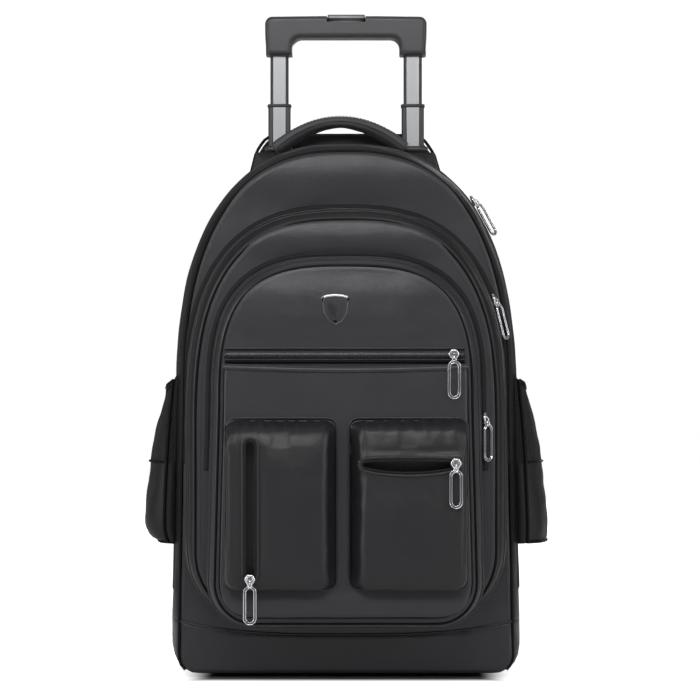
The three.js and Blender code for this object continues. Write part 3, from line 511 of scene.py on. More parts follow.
grip_plastic = moulded_material("grip_plastic", (0.034, 0.034, 0.038), 0.36, 0.9, 0.05, (0.07, 0.07, 0.075))
black_plastic = moulded_material("black_plastic", (0.014, 0.014, 0.015), 0.38, 1.1, 0.1)
tyre_rubber = moulded_material("tyre_rubber", (0.016, 0.016, 0.017), 0.75, 1.4, 0.12, (0.04, 0.039, 0.037))
hub_plastic = moulded_material("hub_plastic", (0.05, 0.05, 0.053), 0.4, 1.0, 0.06)


# %% Metals: polished chrome for the pulls, brushed aluminium for the tubes
def metal_material(name, colour, roughness, brush=(1, 1, 1), streak=0.12):
    material, tree, shader, place_on = start_material(name, {"Metallic": 1.0})
    stretch = node(tree, "ShaderNodeMapping", {"Scale": brush, "Vector": place_on}).outputs[0]
    streaks = node(tree, "ShaderNodeTexNoise", {"Scale": 900, "Detail": 2, "Vector": stretch}).outputs[0]
    patches = group_node(tree, mottle, place_on, Scale=40.0, Spread=0.1)
    edges = group_node(tree, wear, place_on, Amount=0.6)
    rough = maths(tree, "MULTIPLY_ADD", streaks, streak, roughness - streak / 2)
    feed(tree, shader, {
        "Base Color": shaded(tree, colour, patches["Shade"]),
        "Roughness": maths(tree, "ADD", rough, maths(tree, "MULTIPLY", edges["Mask"], 0.1)),
    })
    bump(tree, shader, [(streaks, 0.12, 0.02)])
    return material


chrome = metal_material("polished_chrome", (0.80, 0.80, 0.83), 0.14, streak=0.06)
# Dark chrome that paints shade: in the pulls' grooves, in the sliders' holes and on the badge's edge below
# its bright top.
painted_shade_chrome = metal_material("chrome_painted_shade", (0.16, 0.16, 0.18), 0.34, streak=0.06)
tube_face = metal_material("tube_face_aluminium", (0.36, 0.365, 0.375), 0.42, brush=(1, 1, 0.02), streak=0.2)
# A darker copy of the tube aluminium for the rails: painted shade on the tube's sides.
tube_side = metal_material("tube_side_shade_aluminium", (0.075, 0.075, 0.078), 0.45, brush=(1, 1, 0.02), streak=0.2)
# Bright silver for the top of the badge's edge: a painted highlight.
badge_highlight_silver = metal_material("badge_highlight_silver", (0.78, 0.78, 0.8), 0.2, streak=0.1)
print("materials:", len(bpy.data.materials))

# %% [markdown]
# ## Geometry Nodes for what follows a seam
# Zips, stitches and piping all run along a seam, so each is a small node tree that starts from
# a line of edges. The line carries the direction of the cloth's outside as an attribute, so teeth
# and stitches sit square on the cloth. Every tree has named inputs for its sizes, and ends in
# Realize Instances and Set Material, because an exported mesh can't hold instances.

# %% Tree helpers
def new_tree(name, inputs):
    """A tree that takes geometry, numbers and a material, and the sockets of its inputs."""
    tree = bpy.data.node_groups.new(name, "GeometryNodeTree")
    add = tree.interface.new_socket
    add("Geometry", in_out="INPUT", socket_type="NodeSocketGeometry")
    for label, value in inputs.items():
        kind = "NodeSocketInt" if isinstance(value, int) else float_socket
        add(label, in_out="INPUT", socket_type=kind).default_value = value
    add("Material", in_out="INPUT", socket_type="NodeSocketMaterial")
    add("Geometry", in_out="OUTPUT", socket_type="NodeSocketGeometry")
    return tree, node(tree, "NodeGroupInput").outputs


def seam_frame(tree, given):
    """Evenly spaced points on the seam, with a rotation square to the cloth, and the way across."""
    curve = node(tree, "GeometryNodeMeshToCurve", {0: given["Geometry"]}).outputs[0]
    feeds = {"Curve": curve, "Length": given["Pitch"]}
    on_seam = node(tree, "GeometryNodeCurveToPoints", mode="LENGTH")
    feed(tree, on_seam, feeds)
    tangent = on_seam.outputs["Tangent"]
    named = node(tree, "GeometryNodeInputNamedAttribute", {"Name": "outside"}, data_type="FLOAT_VECTOR")
    outside = named.outputs[0]
    along = node(tree, "FunctionNodeAlignRotationToVector", {"Vector": tangent}, axis="X")
    feeds = {"Rotation": along.outputs[0], "Vector": outside}
    turn = node(tree, "FunctionNodeAlignRotationToVector", feeds, axis="Z", pivot_axis="X")
    across = vector_maths(tree, "CROSS_PRODUCT", outside, tangent)
    return on_seam.outputs["Points"], turn.outputs[0], across, outside


def finish_tree(tree, geometry, material):
    real = node(tree, "GeometryNodeRealizeInstances", {0: geometry}).outputs[0]
    painted = node(tree, "GeometryNodeSetMaterial", {"Geometry": real, "Material": material}).outputs[0]
    node(tree, "NodeGroupOutput", {0: painted})


# %% Trees for blocks along a seam: zip teeth, stitches and the tread of a tyre
block_sizes = {
    "Pitch": 0.003, "Length": 0.002, "Width": 0.001, "Height": 0.001,
    "Shift": 0.0, "Stagger": 0.0, "Lift": 0.0, "Skew": 0.0,
}


def block_tree(name, kind, block_feeds):
    """Blocks at every pitch along the seam, each stepped and skewed to the other side in turn."""
    tree, given = new_tree(name, block_sizes)
    points, turn, across, outside = seam_frame(tree, given)
    index = node(tree, "GeometryNodeInputIndex").outputs[0]
    odd = maths(tree, "MULTIPLY_ADD", maths(tree, "MODULO", index, 2.0), 2.0, -1.0)
    side_shift = maths(tree, "MULTIPLY_ADD", odd, given["Stagger"], given["Shift"])
    moved = vector_maths(
        tree, "ADD", vector_maths(tree, "SCALE", across, Scale=side_shift),
        vector_maths(tree, "SCALE", outside, Scale=given["Lift"]),
    )
    feeds = {"Axis": (0, 0, 1), "Angle": maths(tree, "MULTIPLY", odd, given["Skew"])}
    skew = node(tree, "FunctionNodeAxisAngleToRotation", feeds).outputs[0]
    feeds = {"Rotation": turn, "Rotate By": skew}
    slant = node(tree, "FunctionNodeRotateRotation", feeds, rotation_space="LOCAL")
    sizes = {0: given["Length"], 1: given["Width"], 2: given["Height"]}
    blocks = node(tree, "GeometryNodeInstanceOnPoints", {
        "Points": node(tree, "GeometryNodeSetPosition", {"Geometry": points, "Offset": moved}).outputs[0],
        "Instance": node(tree, kind, block_feeds).outputs["Mesh"],
        "Rotation": slant.outputs[0],
        "Scale": node(tree, "ShaderNodeCombineXYZ", sizes).outputs[0],
    })
    finish_tree(tree, blocks.outputs[0], given["Material"])
    return tree


bead = {"Segments": 6, "Rings": 4, "Radius": 0.5}
cube = {"Size": (1, 1, 1), "Vertices X": 2, "Vertices Y": 4, "Vertices Z": 2}
teeth_tree = block_tree("zip_teeth", "GeometryNodeMeshUVSphere", bead)
stitch_tree = block_tree("seam_stitches", "GeometryNodeMeshUVSphere", bead)
tread_tree = block_tree("tread_blocks", "GeometryNodeMeshCube", cube)

# %% Tree for piping: a round cord along the seam
piping_tree, given = new_tree("piping", {"Radius": 0.0014, "Sides": 8})
circle = node(piping_tree, "GeometryNodeCurvePrimitiveCircle", {
    "Resolution": given["Sides"], "Radius": given["Radius"],
})
sweep = node(piping_tree, "GeometryNodeCurveToMesh", {
    "Fill Caps": True, "Profile Curve": circle.outputs[0],
    "Curve": node(piping_tree, "GeometryNodeMeshToCurve", {0: given["Geometry"]}).outputs[0],
})
finish_tree(piping_tree, sweep.outputs[0], given["Material"])


# %% A line of edges put through one of the trees
def grow(name, tree, line, outside, closed=False, **values):
    """The tree's result along a line in millimetres. outside is one direction, or one for each point."""
    mesh = bpy.data.meshes.new(name)
    count = len(line)
    edges = [(i, (i + 1) % count) for i in range(count if closed else count - 1)]
    mesh.from_pydata([Vector(p) * mm for p in line], edges, [])
    store = mesh.attributes.new("outside", "FLOAT_VECTOR", "POINT")
    for i in range(count):
        store.data[i].vector = outside[i] if isinstance(outside, list) else outside
    piece = link(name, mesh)
    modifier = modify(piece, "NODES", node_group=tree)
    for item in tree.interface.items_tree:
        if item.item_type == "SOCKET" and item.in_out == "INPUT" and item.name in values:
            modifier[item.identifier] = values[item.name]
    apply_modifiers(piece)
    if "outside" in piece.data.attributes:
        piece.data.attributes.remove(piece.data.attributes["outside"])
    piece.data.shade_smooth()
    return piece


def ribbon(name, line, outside, low, high, thickness, material, closed=False):
    """A flat strip beside a line, from low to high across it, on the outside of the cloth."""
    count = len(line)
    rings = []
    for i in range(count):
        before = line[(i - 1) % count] if closed or i else line[i]
        after = line[(i + 1) % count] if closed or i < count - 1 else line[i]
        out = outside[i] if isinstance(outside, list) else Vector(outside)
        across = out.cross((after - before).normalized()).normalized()
        p = line[i]
        rings.append([
            p + across * low, p + across * high,
            p + across * high + out * thickness, p + across * low + out * thickness,
        ])
    return make(name, skin([*rings, rings[0]]) if closed else capped(rings), material)


def seam_stitches(name, line, outside, closed=False, shift=0.0, lift=0.1):
    return grow(
        name, stitch_tree, line, outside, closed, Pitch=3.4 * mm, Length=2.7 * mm, Width=0.7 * mm,
        Height=0.5 * mm, Shift=shift * mm, Lift=lift * mm, Material=thread_nylon,
    )


def cord_along(name, line, radius, material, closed=False, sides=8):
    return grow(
        name, piping_tree, line, (0, 0, 1), closed, Radius=radius * mm, Sides=sides, Material=material,
    )


def teeth(name, line, outside, pitch, size, shift=0.0, stagger=0.0, lift=0.7, closed=False):
    """A row of coil teeth. size is each tooth's reach across the zip, along it and off the tape."""
    across, along, high = size
    return grow(
        name, teeth_tree, line, outside, closed, Pitch=pitch * mm, Length=along * mm, Width=across * mm,
        Height=high * mm, Shift=shift * mm, Stagger=stagger * mm, Lift=lift * mm, Material=coil_nylon,
    )

# %% [markdown]
# ## Compartments
# The bag is three cloth compartments, one in front of the other. Each is a gusset that runs round
# the outline and a front panel sewn to it over piping. A real one swells a little between its
# seams and creases softly, so each mesh is skinned from fine rings and then moved along its normals.
# The two front ones are unzipped along their arch, as in the photograph, so they stay open at the
# back and the wall gets its thickness from Solidify.

# %% Outlines of the compartments
main_form = {"foot": 162, "half": 158, "bottom": 3.5, "top": 490, "spring": 250, "corner": 26, "square": 2.5}
middle_form = {"foot": 144, "half": 144, "bottom": 50, "top": 425, "spring": 230, "corner": 71, "square": 2.7}
front_form = {"foot": 122, "half": 118, "bottom": 54, "top": 380, "spring": 250, "corner": 42, "square": 3}
main_back, main_face = 83.2, -16.8
middle_back, middle_face = -17.1, -67.1
front_back, front_face = -67.4, -97.4
tablet_back, tablet_face = -97.7, -106.7
pocket_back, pocket_face = -107.0, -127.0


def through(rows, t):
    """A smooth value at t through rows of (t, value)."""
    for k in range(len(rows) - 1):
        (t0, v0), (t1, v1) = rows[k], rows[k + 1]
        if t <= t1 or k == len(rows) - 2:
            before = rows[max(k - 1, 0)]
            after = rows[min(k + 2, len(rows) - 1)]
            slope0 = (v1 - before[1]) / (t1 - before[0])
            slope1 = (after[1] - v0) / (after[0] - t0)
            span = t1 - t0
            u = (t - t0) / span
            return (
                v0 * (1 + 2 * u) * (1 - u) ** 2 + slope0 * span * u * (1 - u) ** 2
                + v1 * u * u * (3 - 2 * u) + slope1 * span * u * u * (u - 1)
            )
    return rows[-1][1]


def displace(piece, rule):
    """Moves each corner along its normal by rule(place, normal), in millimetres."""
    mesh = piece.data
    mesh.update()
    normals = [Vector(v.normal) for v in mesh.vertices]
    for v, normal in zip(mesh.vertices, normals):
        v.co += normal * rule(v.co / mm, normal) * mm
    mesh.update()
    return piece


def gape_at(z, start, top, amount):
    return amount * smooth(start, top, z)


def shell_ring(t, form, back, face, pull_rows, roll, bottom_roll, gape=None, count=200):
    """One ring of a compartment, t of the way from its back rim to its front seam."""
    pull = through(pull_rows, t)
    ring = outline_ring(form, 0, roll * pull, bottom_roll * pull, count)
    for p in ring:
        lean = (1 - t) ** 1.5 * gape_at(p.z, *gape) if gape else 0
        p.y = lerp(back, face, t) - lean
    return ring


def shell_rings(shell, steps, count=200):
    return [shell_ring(k / steps, *shell, count=count) for k in range(steps + 1)]


def raised_seams(shell, shares, relief, radius, low=None):
    """Thin bound seams that run round a gusset and follow its folds."""
    seams = []
    for t in shares:
        ring = shell_ring(t, *shell, count=320)
        outs = ring_outside(ring)
        lifted = [p + out * (relief(p, out) + 0.25) for p, out in zip(ring, outs)]
        line = above(lifted, outs, low)[0] if low else lifted
        seams.append(cord_along("bound_seam", line, radius, satin_nylon, closed=not low, sides=6))
    return seams


# %% Main compartment, with its base panel cut off along the arched seam
main_pull = [(0, 0.5), (0.08, 0.1), (0.45, -0.02), (0.85, 0.3), (0.95, 0.62), (1, 1)]
main_shell = (main_form, main_back, main_face, main_pull, 11, 1)
main_rings = shell_rings(main_shell, 40)
back_close = inward(main_rings[0], 8, 120, 380)
face_close = inward(main_rings[-1], 16, 150, 340, 1.3)
main_skin = skin([*reversed(back_close), *main_rings, *face_close])
main_shape = make("main_compartment", main_skin, side_shade_nylon)

zip_depth, zip_foot = 33.2, 150
covered_half, covered_top = 140, 418


def main_relief(p, normal):
    on_front = smooth(0.5, 0.9, -normal.y)
    above_cover = smooth(covered_top, covered_top + 14, p.z)
    open_face = max(above_cover, smooth(covered_half, covered_half + 4, abs(p.x)))
    soft = 0.9 * wrinkle(p, 60, 3.1) + 0.45 * wrinkle(p, 24, 7.7)
    if on_front > 0:
        crown = 3.2 * smooth(425, 462, p.z) * (1 - smooth(462, 486, p.z))
        return (soft * 0.8 + crown) * open_face * on_front
    if normal.y > 0.6:
        return 0
    groove = smooth(5.6, 4.6, abs(p.y - zip_depth)) if p.z > zip_foot else 0
    from_seam = min(abs(p.y + 13), abs(p.y - zip_depth), abs(p.y - 80))
    pucker = 0.35 * wrinkle(p, 7, 1.3) * smooth(14, 5, from_seam)
    free = smooth(3, 12, p.z)
    return (soft + pucker) * free * (1 - groove) - 1.6 * groove


displace(main_shape, main_relief)


def seam_height(x):
    return 39 + 15 * min(abs(x) / 162, 1.05) ** 3


def warped(piece, sign):
    for v in piece.data.vertices:
        v.co.z += sign * seam_height(v.co.x / mm) * mm
    return piece


def cut_flat(piece, height, keep_above):
    work = bmesh.new()
    work.from_mesh(piece.data)
    everything = work.verts[:] + work.edges[:] + work.faces[:]
    bmesh.ops.bisect_plane(
        work, geom=everything, plane_co=(0, 0, height * mm), plane_no=(0, 0, 1),
        clear_inner=keep_above, clear_outer=not keep_above,
    )
    work.to_mesh(piece.data)
    work.free()
    return piece


def carve(piece, cutters, keep=False):
    """Cuts closed meshes out of the piece, and removes them unless they are kept."""
    for cutter in cutters:
        modify(piece, "BOOLEAN", operation="DIFFERENCE", solver="EXACT", object=cutter)
    apply_modifiers(piece)
    for cutter in () if keep else cutters:
        bpy.data.objects.remove(cutter)
    return piece


def prism(name, outline, axis, low, high, material=lining_nylon):
    """A straight bar of a flat outline along one axis."""
    rings = []
    for t in (low, high):
        ring = [list(p) for p in outline]
        for corner in ring:
            corner.insert("xyz".index(axis), t)
        rings.append([Vector(corner) for corner in ring])
    return make(name, capped(rings), material)


wheel_x, wheel_y, wheel_z = 127, 85.2, 33
notch_radius, notch_half = 39.2, 16.2


def wheel_arch(radius, low, rear):
    points = [(wheel_y - radius, low)]
    for i in range(17):
        angle = pi - i / 16 * pi / 2
        points.append((wheel_y + radius * cos(angle), wheel_z + radius * sin(angle)))
    return [*points, (rear, wheel_z + radius), (rear, low)]


def wheel_notches():
    """Bars that cut the room for each wheel's housing."""
    arch = wheel_arch(notch_radius, -10, 200)
    return [prism("notch", arch, "x", x - notch_half, x + notch_half) for x in (-wheel_x, wheel_x)]


notches = wheel_notches()
warped(main_shape, -1)
base_shape = link("base_panel", main_shape.data.copy())
cut_flat(main_shape, 0.15, True)
cut_flat(base_shape, -0.15, False)
warped(main_shape, 1)
warped(base_shape, 1)
thicken(main_shape, 1.6)
thicken(base_shape, 1.8)
carve(main_shape, notches, keep=True)
carve(base_shape, notches)
for piece in (main_shape, base_shape):
    even_shading(piece)
base_shape.data.materials.clear()
base_shape.data.materials.append(satin_nylon)


def satin_front(piece):
    """Gives the faces that look forward the satin cloth of the front panels; the rest keep the darker copy,
    painted shade.
    """
    piece.data.materials.append(satin_nylon)
    for polygon in piece.data.polygons:
        polygon.material_index = 1 if polygon.normal.y < -0.7 else 0


satin_front(main_shape)


# %% Piping, seams and stitches of the main compartment
def ring_outside(ring):
    """For each point of a ring, the way out of the outline."""
    result = []
    count = len(ring)
    for i in range(count):
        along = (ring[(i + 1) % count] - ring[(i - 1) % count]).normalized()
        result.append(Vector((0, 1, 0)).cross(along).normalized())
    return result


def above(ring, outside, low, high=10000):
    """The part of a ring between two heights, in order, as an open line."""
    count = len(ring)
    keep = [low <= p.z <= high for p in ring]
    first = next(i for i in range(count) if keep[i] and not keep[i - 1])
    line, outs = [], []
    for k in range(count):
        i = (first + k) % count
        if not keep[i]:
            break
        line.append(ring[i])
        outs.append(outside[i])
    return line, outs


main_front_pipe = outline_ring(main_form, main_face + 0.6, 9.7, 0.4, 220)
main_back_pipe = outline_ring(main_form, main_back - 1.2, 4.6, -0.2, 220)
upper_front, _ = above(main_front_pipe, main_front_pipe, 5)
upper_back, _ = above(main_back_pipe, main_back_pipe, 74)
main_piping = [
    cord_along("pipe_a", upper_front, 1.5, trim_and_groove_shade_nylon),
    cord_along("pipe_b", upper_back, 1.5, trim_and_groove_shade_nylon),
    *raised_seams(main_shell, (0.12, 0.7, 0.84), main_relief, 0.7, low=75),
]
seam_stitch_ring = outline_ring(main_form, main_face - 0.15, 14.2, 4, 220)
stitch_line, _ = above(seam_stitch_ring, seam_stitch_ring, 60)
main_piping.append(seam_stitches("stitch_a", stitch_line, front_way))
main_compartment = join("main_compartment", [main_shape, *main_piping])
place(main_compartment, "bag", "main_shell", slot="main_fabric")

base_line = []
for i in range(81):
    x = lerp(-151.5, 151.5, i / 80)
    spot = Vector((x, main_face, seam_height(x)))
    base_line.append(spot + Vector((0, -0.2 - main_relief(spot, front_way), 0)))
base_seam = [
    cord_along("pipe_c", [p + Vector((0, -0.1, 0.6)) for p in base_line], 1.0, satin_nylon),
    seam_stitches("stitch_b", [p + Vector((0, 0, -3.2)) for p in base_line], front_way),
]
base_panel = join("base_panel", [base_shape, *base_seam])
place(base_panel, "bag", "base_boot", slot="main_fabric")


# %% Zip made of a woven tape and coil teeth
def zip_strip(name, line, outside, low, high, shift, stagger, thickness=0.7, tape=tape_nylon):
    """A tape from low to high across the line, with a row of teeth on it."""
    return [
        ribbon(name + "_tape", line, outside, low, high, thickness, tape),
        teeth(name + "_teeth", line, outside, 1.7, (2.6, 1.15, 1.2), shift, stagger, thickness + 0.25),
    ]


def zip_sewing(name, line, outside, shifts, closed=False, lift=0.8):
    return [
        seam_stitches(f"{name}_sewn_{k}", line, outside, closed, shift_by, lift)
        for k, shift_by in enumerate(shifts)
    ]


zip_ring = outline_ring(main_form, zip_depth, 1.5, 1.5, 300)
line, outs = above(zip_ring, ring_outside(zip_ring), zip_foot)
main_zip = join("coil_zip_main", [
    *zip_strip("main_zip", line, outs, -4, 4, 0, 0.7),
    *zip_sewing("main_zip", line, outs, [-3.2, 3.2]),
])
place(main_zip, "bag", "zip_main", slot="zip_tape")

# %% Middle compartment and front section
middle_gape = (345, 425, 12)
front_gape = (239, 380, 10)
middle_pull = [(0, 0), (0.4, -0.04), (0.8, 0.3), (0.93, 0.6), (1, 1)]
front_pull = [(0, 0), (0.5, -0.05), (0.85, 0.4), (0.95, 0.65), (1, 1)]
middle_shell = (middle_form, middle_back, middle_face, middle_pull, 11, 8, middle_gape)
front_shell = (front_form, front_back, front_face, front_pull, 8, 6, front_gape)
middle_rings = shell_rings(middle_shell, 20)
front_rings = shell_rings(front_shell, 14)


def tray(name, rings, low, high, material, relief):
    """A compartment that is open at the back, with its wall's thickness inside."""
    piece = make(name, skin([*rings, *inward(rings[-1], 18, low, high, 1.2)]), material)
    look_to(piece, front_way)
    displace(piece, relief)
    return thicken(piece, 1.8)


def middle_relief(p, normal):
    on_front = smooth(0.5, 0.9, -normal.y)
    soft = 0.9 * wrinkle(p, 46, 11.3) + 0.4 * wrinkle(p, 18, 2.9)
    if on_front > 0:
        bare = max(smooth(372, 392, p.z), smooth(120, 126, abs(p.x)))
        crown = 2.4 * smooth(378, 398, p.z) * (1 - smooth(402, 420, p.z)) * smooth(130, 60, abs(p.x))
        return (soft * 0.5 + crown) * bare * on_front
    rim = smooth(2, 10, -17.1 - p.y)
    return soft * rim


def front_relief(p, normal):
    on_front = smooth(0.5, 0.9, -normal.y)
    soft = 0.8 * wrinkle(p, 40, 5.3) + 0.35 * wrinkle(p, 15, 4.4)
    if on_front > 0:
        bare = smooth(300, 325, p.z)
        crown = 3.0 * smooth(300, 330, p.z) * (1 - smooth(345, 374, p.z)) * smooth(112, 50, abs(p.x))
        return (soft * 0.6 + crown) * bare * on_front
    rim = smooth(2, 8, -67.4 - p.y)
    return soft * rim * 0.8


middle_shape = tray("middle_compartment", middle_rings, 190, 300, side_shade_nylon, middle_relief)
satin_front(middle_shape)
front_shape = tray("front_section", front_rings, 180, 280, satin_nylon, front_relief)


def edged(form, face, inset, fall, radius):
    """Piping where the gusset meets the front panel, with a row of stitches inside it. The near-black piping
    also paints the shade of the groove along the seam.
    """
    pipe = outline_ring(form, face + 0.5, inset - 0.9, fall - 0.9, 220)
    sewn = outline_ring(form, face - 0.1, inset + 3.6, fall + 3.6, 220)
    return [
        cord_along("pipe", pipe, radius, trim_and_groove_shade_nylon, closed=True),
        seam_stitches("sewn", sewn, front_way, closed=True),
    ]


middle_compartment = join("middle_compartment", [
    middle_shape, *edged(middle_form, middle_face, 11, 8, 1.3),
    *raised_seams(middle_shell, (0.36, 0.72), middle_relief, 0.7),
])
front_section = join("front_section", [
    front_shape, *edged(front_form, front_face, 8, 6, 1.2),
    *raised_seams(front_shell, (0.42, 0.7), front_relief, 0.6),
])
place(middle_compartment, "bag", "middle_shell", slot="main_fabric")
place(front_section, "bag", "front_shell", slot="main_fabric")


# %% Their zips: one tape on the open rim, the other on the panel behind
def rim_zip(name, form, back, face_behind, gape, low, node_name):
    ring = outline_ring(form, back, -0.2, -0.2, 320)
    outs = ring_outside(ring)
    for p in ring:
        p.y = back - 3.8 - gape_at(p.z, *gape)
    line, out_line = above(ring, outs, low)
    rim_line = [p + Vector((0, 3.6, 0)) for p in line]
    panel = outline_ring(form, face_behind - 0.1, -1.2, -1.2, 320)
    panel_line, _ = above(panel, panel, low)
    whole = join(name, [
        ribbon(name + "_tape", line, out_line, -4, 3.9, 0.7, tape_nylon),
        *zip_sewing(name, line, out_line, [-3.0]),
        teeth(name + "_teeth", rim_line, out_line, 1.7, (2.4, 1.1, 1.3), -0.4, lift=0.4),
        ribbon(name + "_panel_tape", panel_line, front_way, -5.6, 0, 0.5, tape_nylon),
        teeth(name + "_panel_teeth", panel_line, front_way, 1.7, (2.2, 1.1, 1.1), -1.0),
    ])
    place(whole, "bag", node_name, slot="zip_tape")


rim_zip("coil_zip_middle", middle_form, middle_back, main_face, middle_gape, 194, "zip_middle")
rim_zip("coil_zip_front", front_form, front_back, middle_face, front_gape, 190, "zip_front")

# %% [markdown]
# ## Tablet pocket
# A flat pocket covers the lower part of the front section. Its mouth has a bound lip that sags a
# little in the middle, and its zip runs straight above the lip. The pocket is a shallow tray:
# rings round its outline, closed on to an upright seam, then cut along the lip and thickened.

# %% Tablet pocket
tablet_inset = 10.5
lip_height, lip_sag = 287, 3


def lip_z(x):
    return lip_height - lip_sag * cos(max(min(x / 119, 1), -1) * pi / 2)


tablet_rings = [
    outline_ring(front_form, y, tablet_inset + more, tablet_inset + more) for y, more in (
        (tablet_back, 0), (-100, -0.3), (-103.5, 0.2), (-105.6, 1.2), (tablet_face + 0.2, 2.8),
        (tablet_face, 4.5),
    )
]
tablet_skin = skin([*tablet_rings, *inward(tablet_rings[-1], 20, 180, 280, 1.1)])
tablet_shape = make("tablet_pocket", tablet_skin, satin_nylon)
look_to(tablet_shape, front_way)


def tablet_relief(p, normal):
    on_front = smooth(0.5, 0.9, -normal.y)
    near_lip = smooth(235, 280, p.z)
    sag = 0.9 * wrinkle(p, 55, 8.8) + 0.35 * wrinkle(p, 20, 6.1)
    free = max(smooth(240, 252, p.z), smooth(92, 84, p.z))
    below = 1.6 * smooth(91, 80, p.z) * smooth(64, 72, p.z)
    return on_front * free * (sag * 0.6 + 0.8 * near_lip + below)


displace(tablet_shape, tablet_relief)
for v in tablet_shape.data.vertices:
    v.co.z += (lip_height - lip_z(v.co.x / mm)) * mm
cut_flat(tablet_shape, lip_height, False)
for v in tablet_shape.data.vertices:
    v.co.z -= (lip_height - lip_z(v.co.x / mm)) * mm
thicken(tablet_shape, 1.5)


def across_lip(y, drop, half=107.5, count=90):
    across = [lerp(-half, half, i / (count - 1)) for i in range(count)]
    return [Vector((x, y, lip_z(x) - drop)) for x in across]


tablet_edge = outline_ring(front_form, tablet_face + 1.6, tablet_inset + 1.2, tablet_inset + 1.2)
tablet_edge = [*tablet_edge[100:], *tablet_edge[:100]]
tablet_edge, _ = above(tablet_edge, tablet_edge, 0, lip_height - 3)
tablet_pocket = join("tablet_pocket", [
    tablet_shape,
    ribbon("lip_hem", across_lip(tablet_face - 0.8, 2.4), front_way, -2.4, 2.4, 0.7, satin_nylon),
    seam_stitches("lip_sewn", across_lip(tablet_face - 1.0, 3.9), front_way, lift=0.5),
    cord_along("lip_edge", across_lip(tablet_face - 0.6, 0.2), 0.9, satin_nylon),
    cord_along("tray_edge", tablet_edge, 0.9, trim_and_groove_shade_nylon),
])
place(tablet_pocket, "bag", "tablet_panel", slot="main_fabric")

tablet_zip_z = 295
zip_path = [Vector((lerp(-106, 104, i / 60), tablet_back - 0.1, tablet_zip_z)) for i in range(61)]


def beside_zip(rise, out=0.0):
    return [p + Vector((0, -out, rise)) for p in zip_path]


tablet_zip = join("coil_zip_tablet", [
    *zip_strip("tablet_zip", beside_zip(0), front_way, -4.6, 3.6, -1.6, 0.4, 0.6, satin_nylon),
    # A near-black strip in the pocket's mouth between the zip and the lip: painted shade.
    ribbon("tablet_mouth_shade", beside_zip(-6.2), front_way, -1.6, 1.6, 0.4, trim_and_groove_shade_nylon),
    # A thin near-black strip above the zip: painted shade of a groove.
    ribbon("tablet_groove_shade", beside_zip(4.1), front_way, -0.6, 0.6, 0.3, trim_and_groove_shade_nylon),
    seam_stitches("tablet_zip_sewn", beside_zip(2.4), front_way, lift=0.7),
    cord_along("tablet_welt", beside_zip(5.6), 1.1, satin_nylon),
    cord_along("tablet_tape_edge", beside_zip(-4.4, 0.3), 0.6, satin_nylon),
])
place(tablet_zip, "bag", "zip_tablet", slot="zip_tape")

# %% [markdown]
# ## The two small pockets
# Each is a box of cloth on the tablet pocket: a front panel, a gusset as deep as a thumb and a
# seam that holds it down. The left one has an upright zip and the right one a level zip whose mouth
# hangs open. The cloth is skinned from rounded rings, swollen and creased, thickened, and the mouth
# is cut through it before the zip tape is laid round the cut.

# %% Small pocket shape
pocket_low, pocket_high = 91, 231


def rounded_ring(x0, x1, z0, z1, radius, y, count=160):
    middle_x, middle_z = (x0 + x1) / 2, (z0 + z1) / 2
    points = [(middle_x, z0)]
    for sx, sz, first in ((1, -1, -90), (1, 1, 0), (-1, 1, 90), (-1, -1, 180)):
        for i in range(9):
            angle = radians(first + 90 * i / 8)
            points.append((
                middle_x + sx * ((x1 - x0) / 2 - radius) + radius * cos(angle),
                middle_z + sz * ((z1 - z0) / 2 - radius) + radius * sin(angle),
            ))
    return upright(spread(points, count), y)


def pocket_rings(x0, x1, slope_left, slope_right):
    rings = []
    rows = [
        (pocket_back - 0.2, -0.4, 8, 6.5, 0), (-109.0, 0.9, 7.4, 7, 0.05), (-112.5, 0.2, 5.6, 8, 0.3),
        (-117.5, 0.0, 3.0, 9, 0.62), (-122.0, 0.5, 0.2, 10, 0.85), (-124.6, 1.6, -2.6, 11, 0.95),
        (-126.2, 3.6, -5.6, 12, 1), (-126.9, 6.0, -8.6, 13, 1),
    ]
    for y, inset, lift, corner, share in rows:
        low_x, high_x = x0 + inset + slope_left * share, x1 - inset - slope_right * share
        ring = rounded_ring(low_x, high_x, pocket_low + inset, pocket_high - inset, corner, y)
        for p in ring:
            p.z += lift * smooth(150, pocket_high, p.z)
        rings.append(ring)
    return rings


def even_out(piece, x, reach=8, rounds=30):
    """Takes the ridge out of the cloth where its rings close on an upright line."""
    work = bmesh.new()
    work.from_mesh(piece.data)
    near = [v for v in work.verts if abs(v.co.x / mm - x) < reach and v.co.y < (pocket_face + 4) * mm]
    for _ in range(rounds):
        bmesh.ops.smooth_vert(work, verts=near, factor=0.5, use_axis_y=True)
    work.to_mesh(piece.data)
    work.free()


def small_pocket(name, x0, x1, slopes, relief, slit):
    rings = pocket_rings(x0, x1, *slopes)
    closing = inward(rings[-1], 16, 135, 190, 1.1, (x0 + x1) / 2)
    piece = make(name, skin([*rings, *closing]), pocket_shade_nylon, merge=0.01)
    look_to(piece, front_way)
    subdivide(piece)
    displace(piece, relief)
    even_out(piece, (x0 + x1) / 2)
    thicken(piece, 1.3)
    carve(piece, [prism("slit", slit, "y", -140, pocket_face + 5)])
    return even_shading(piece)


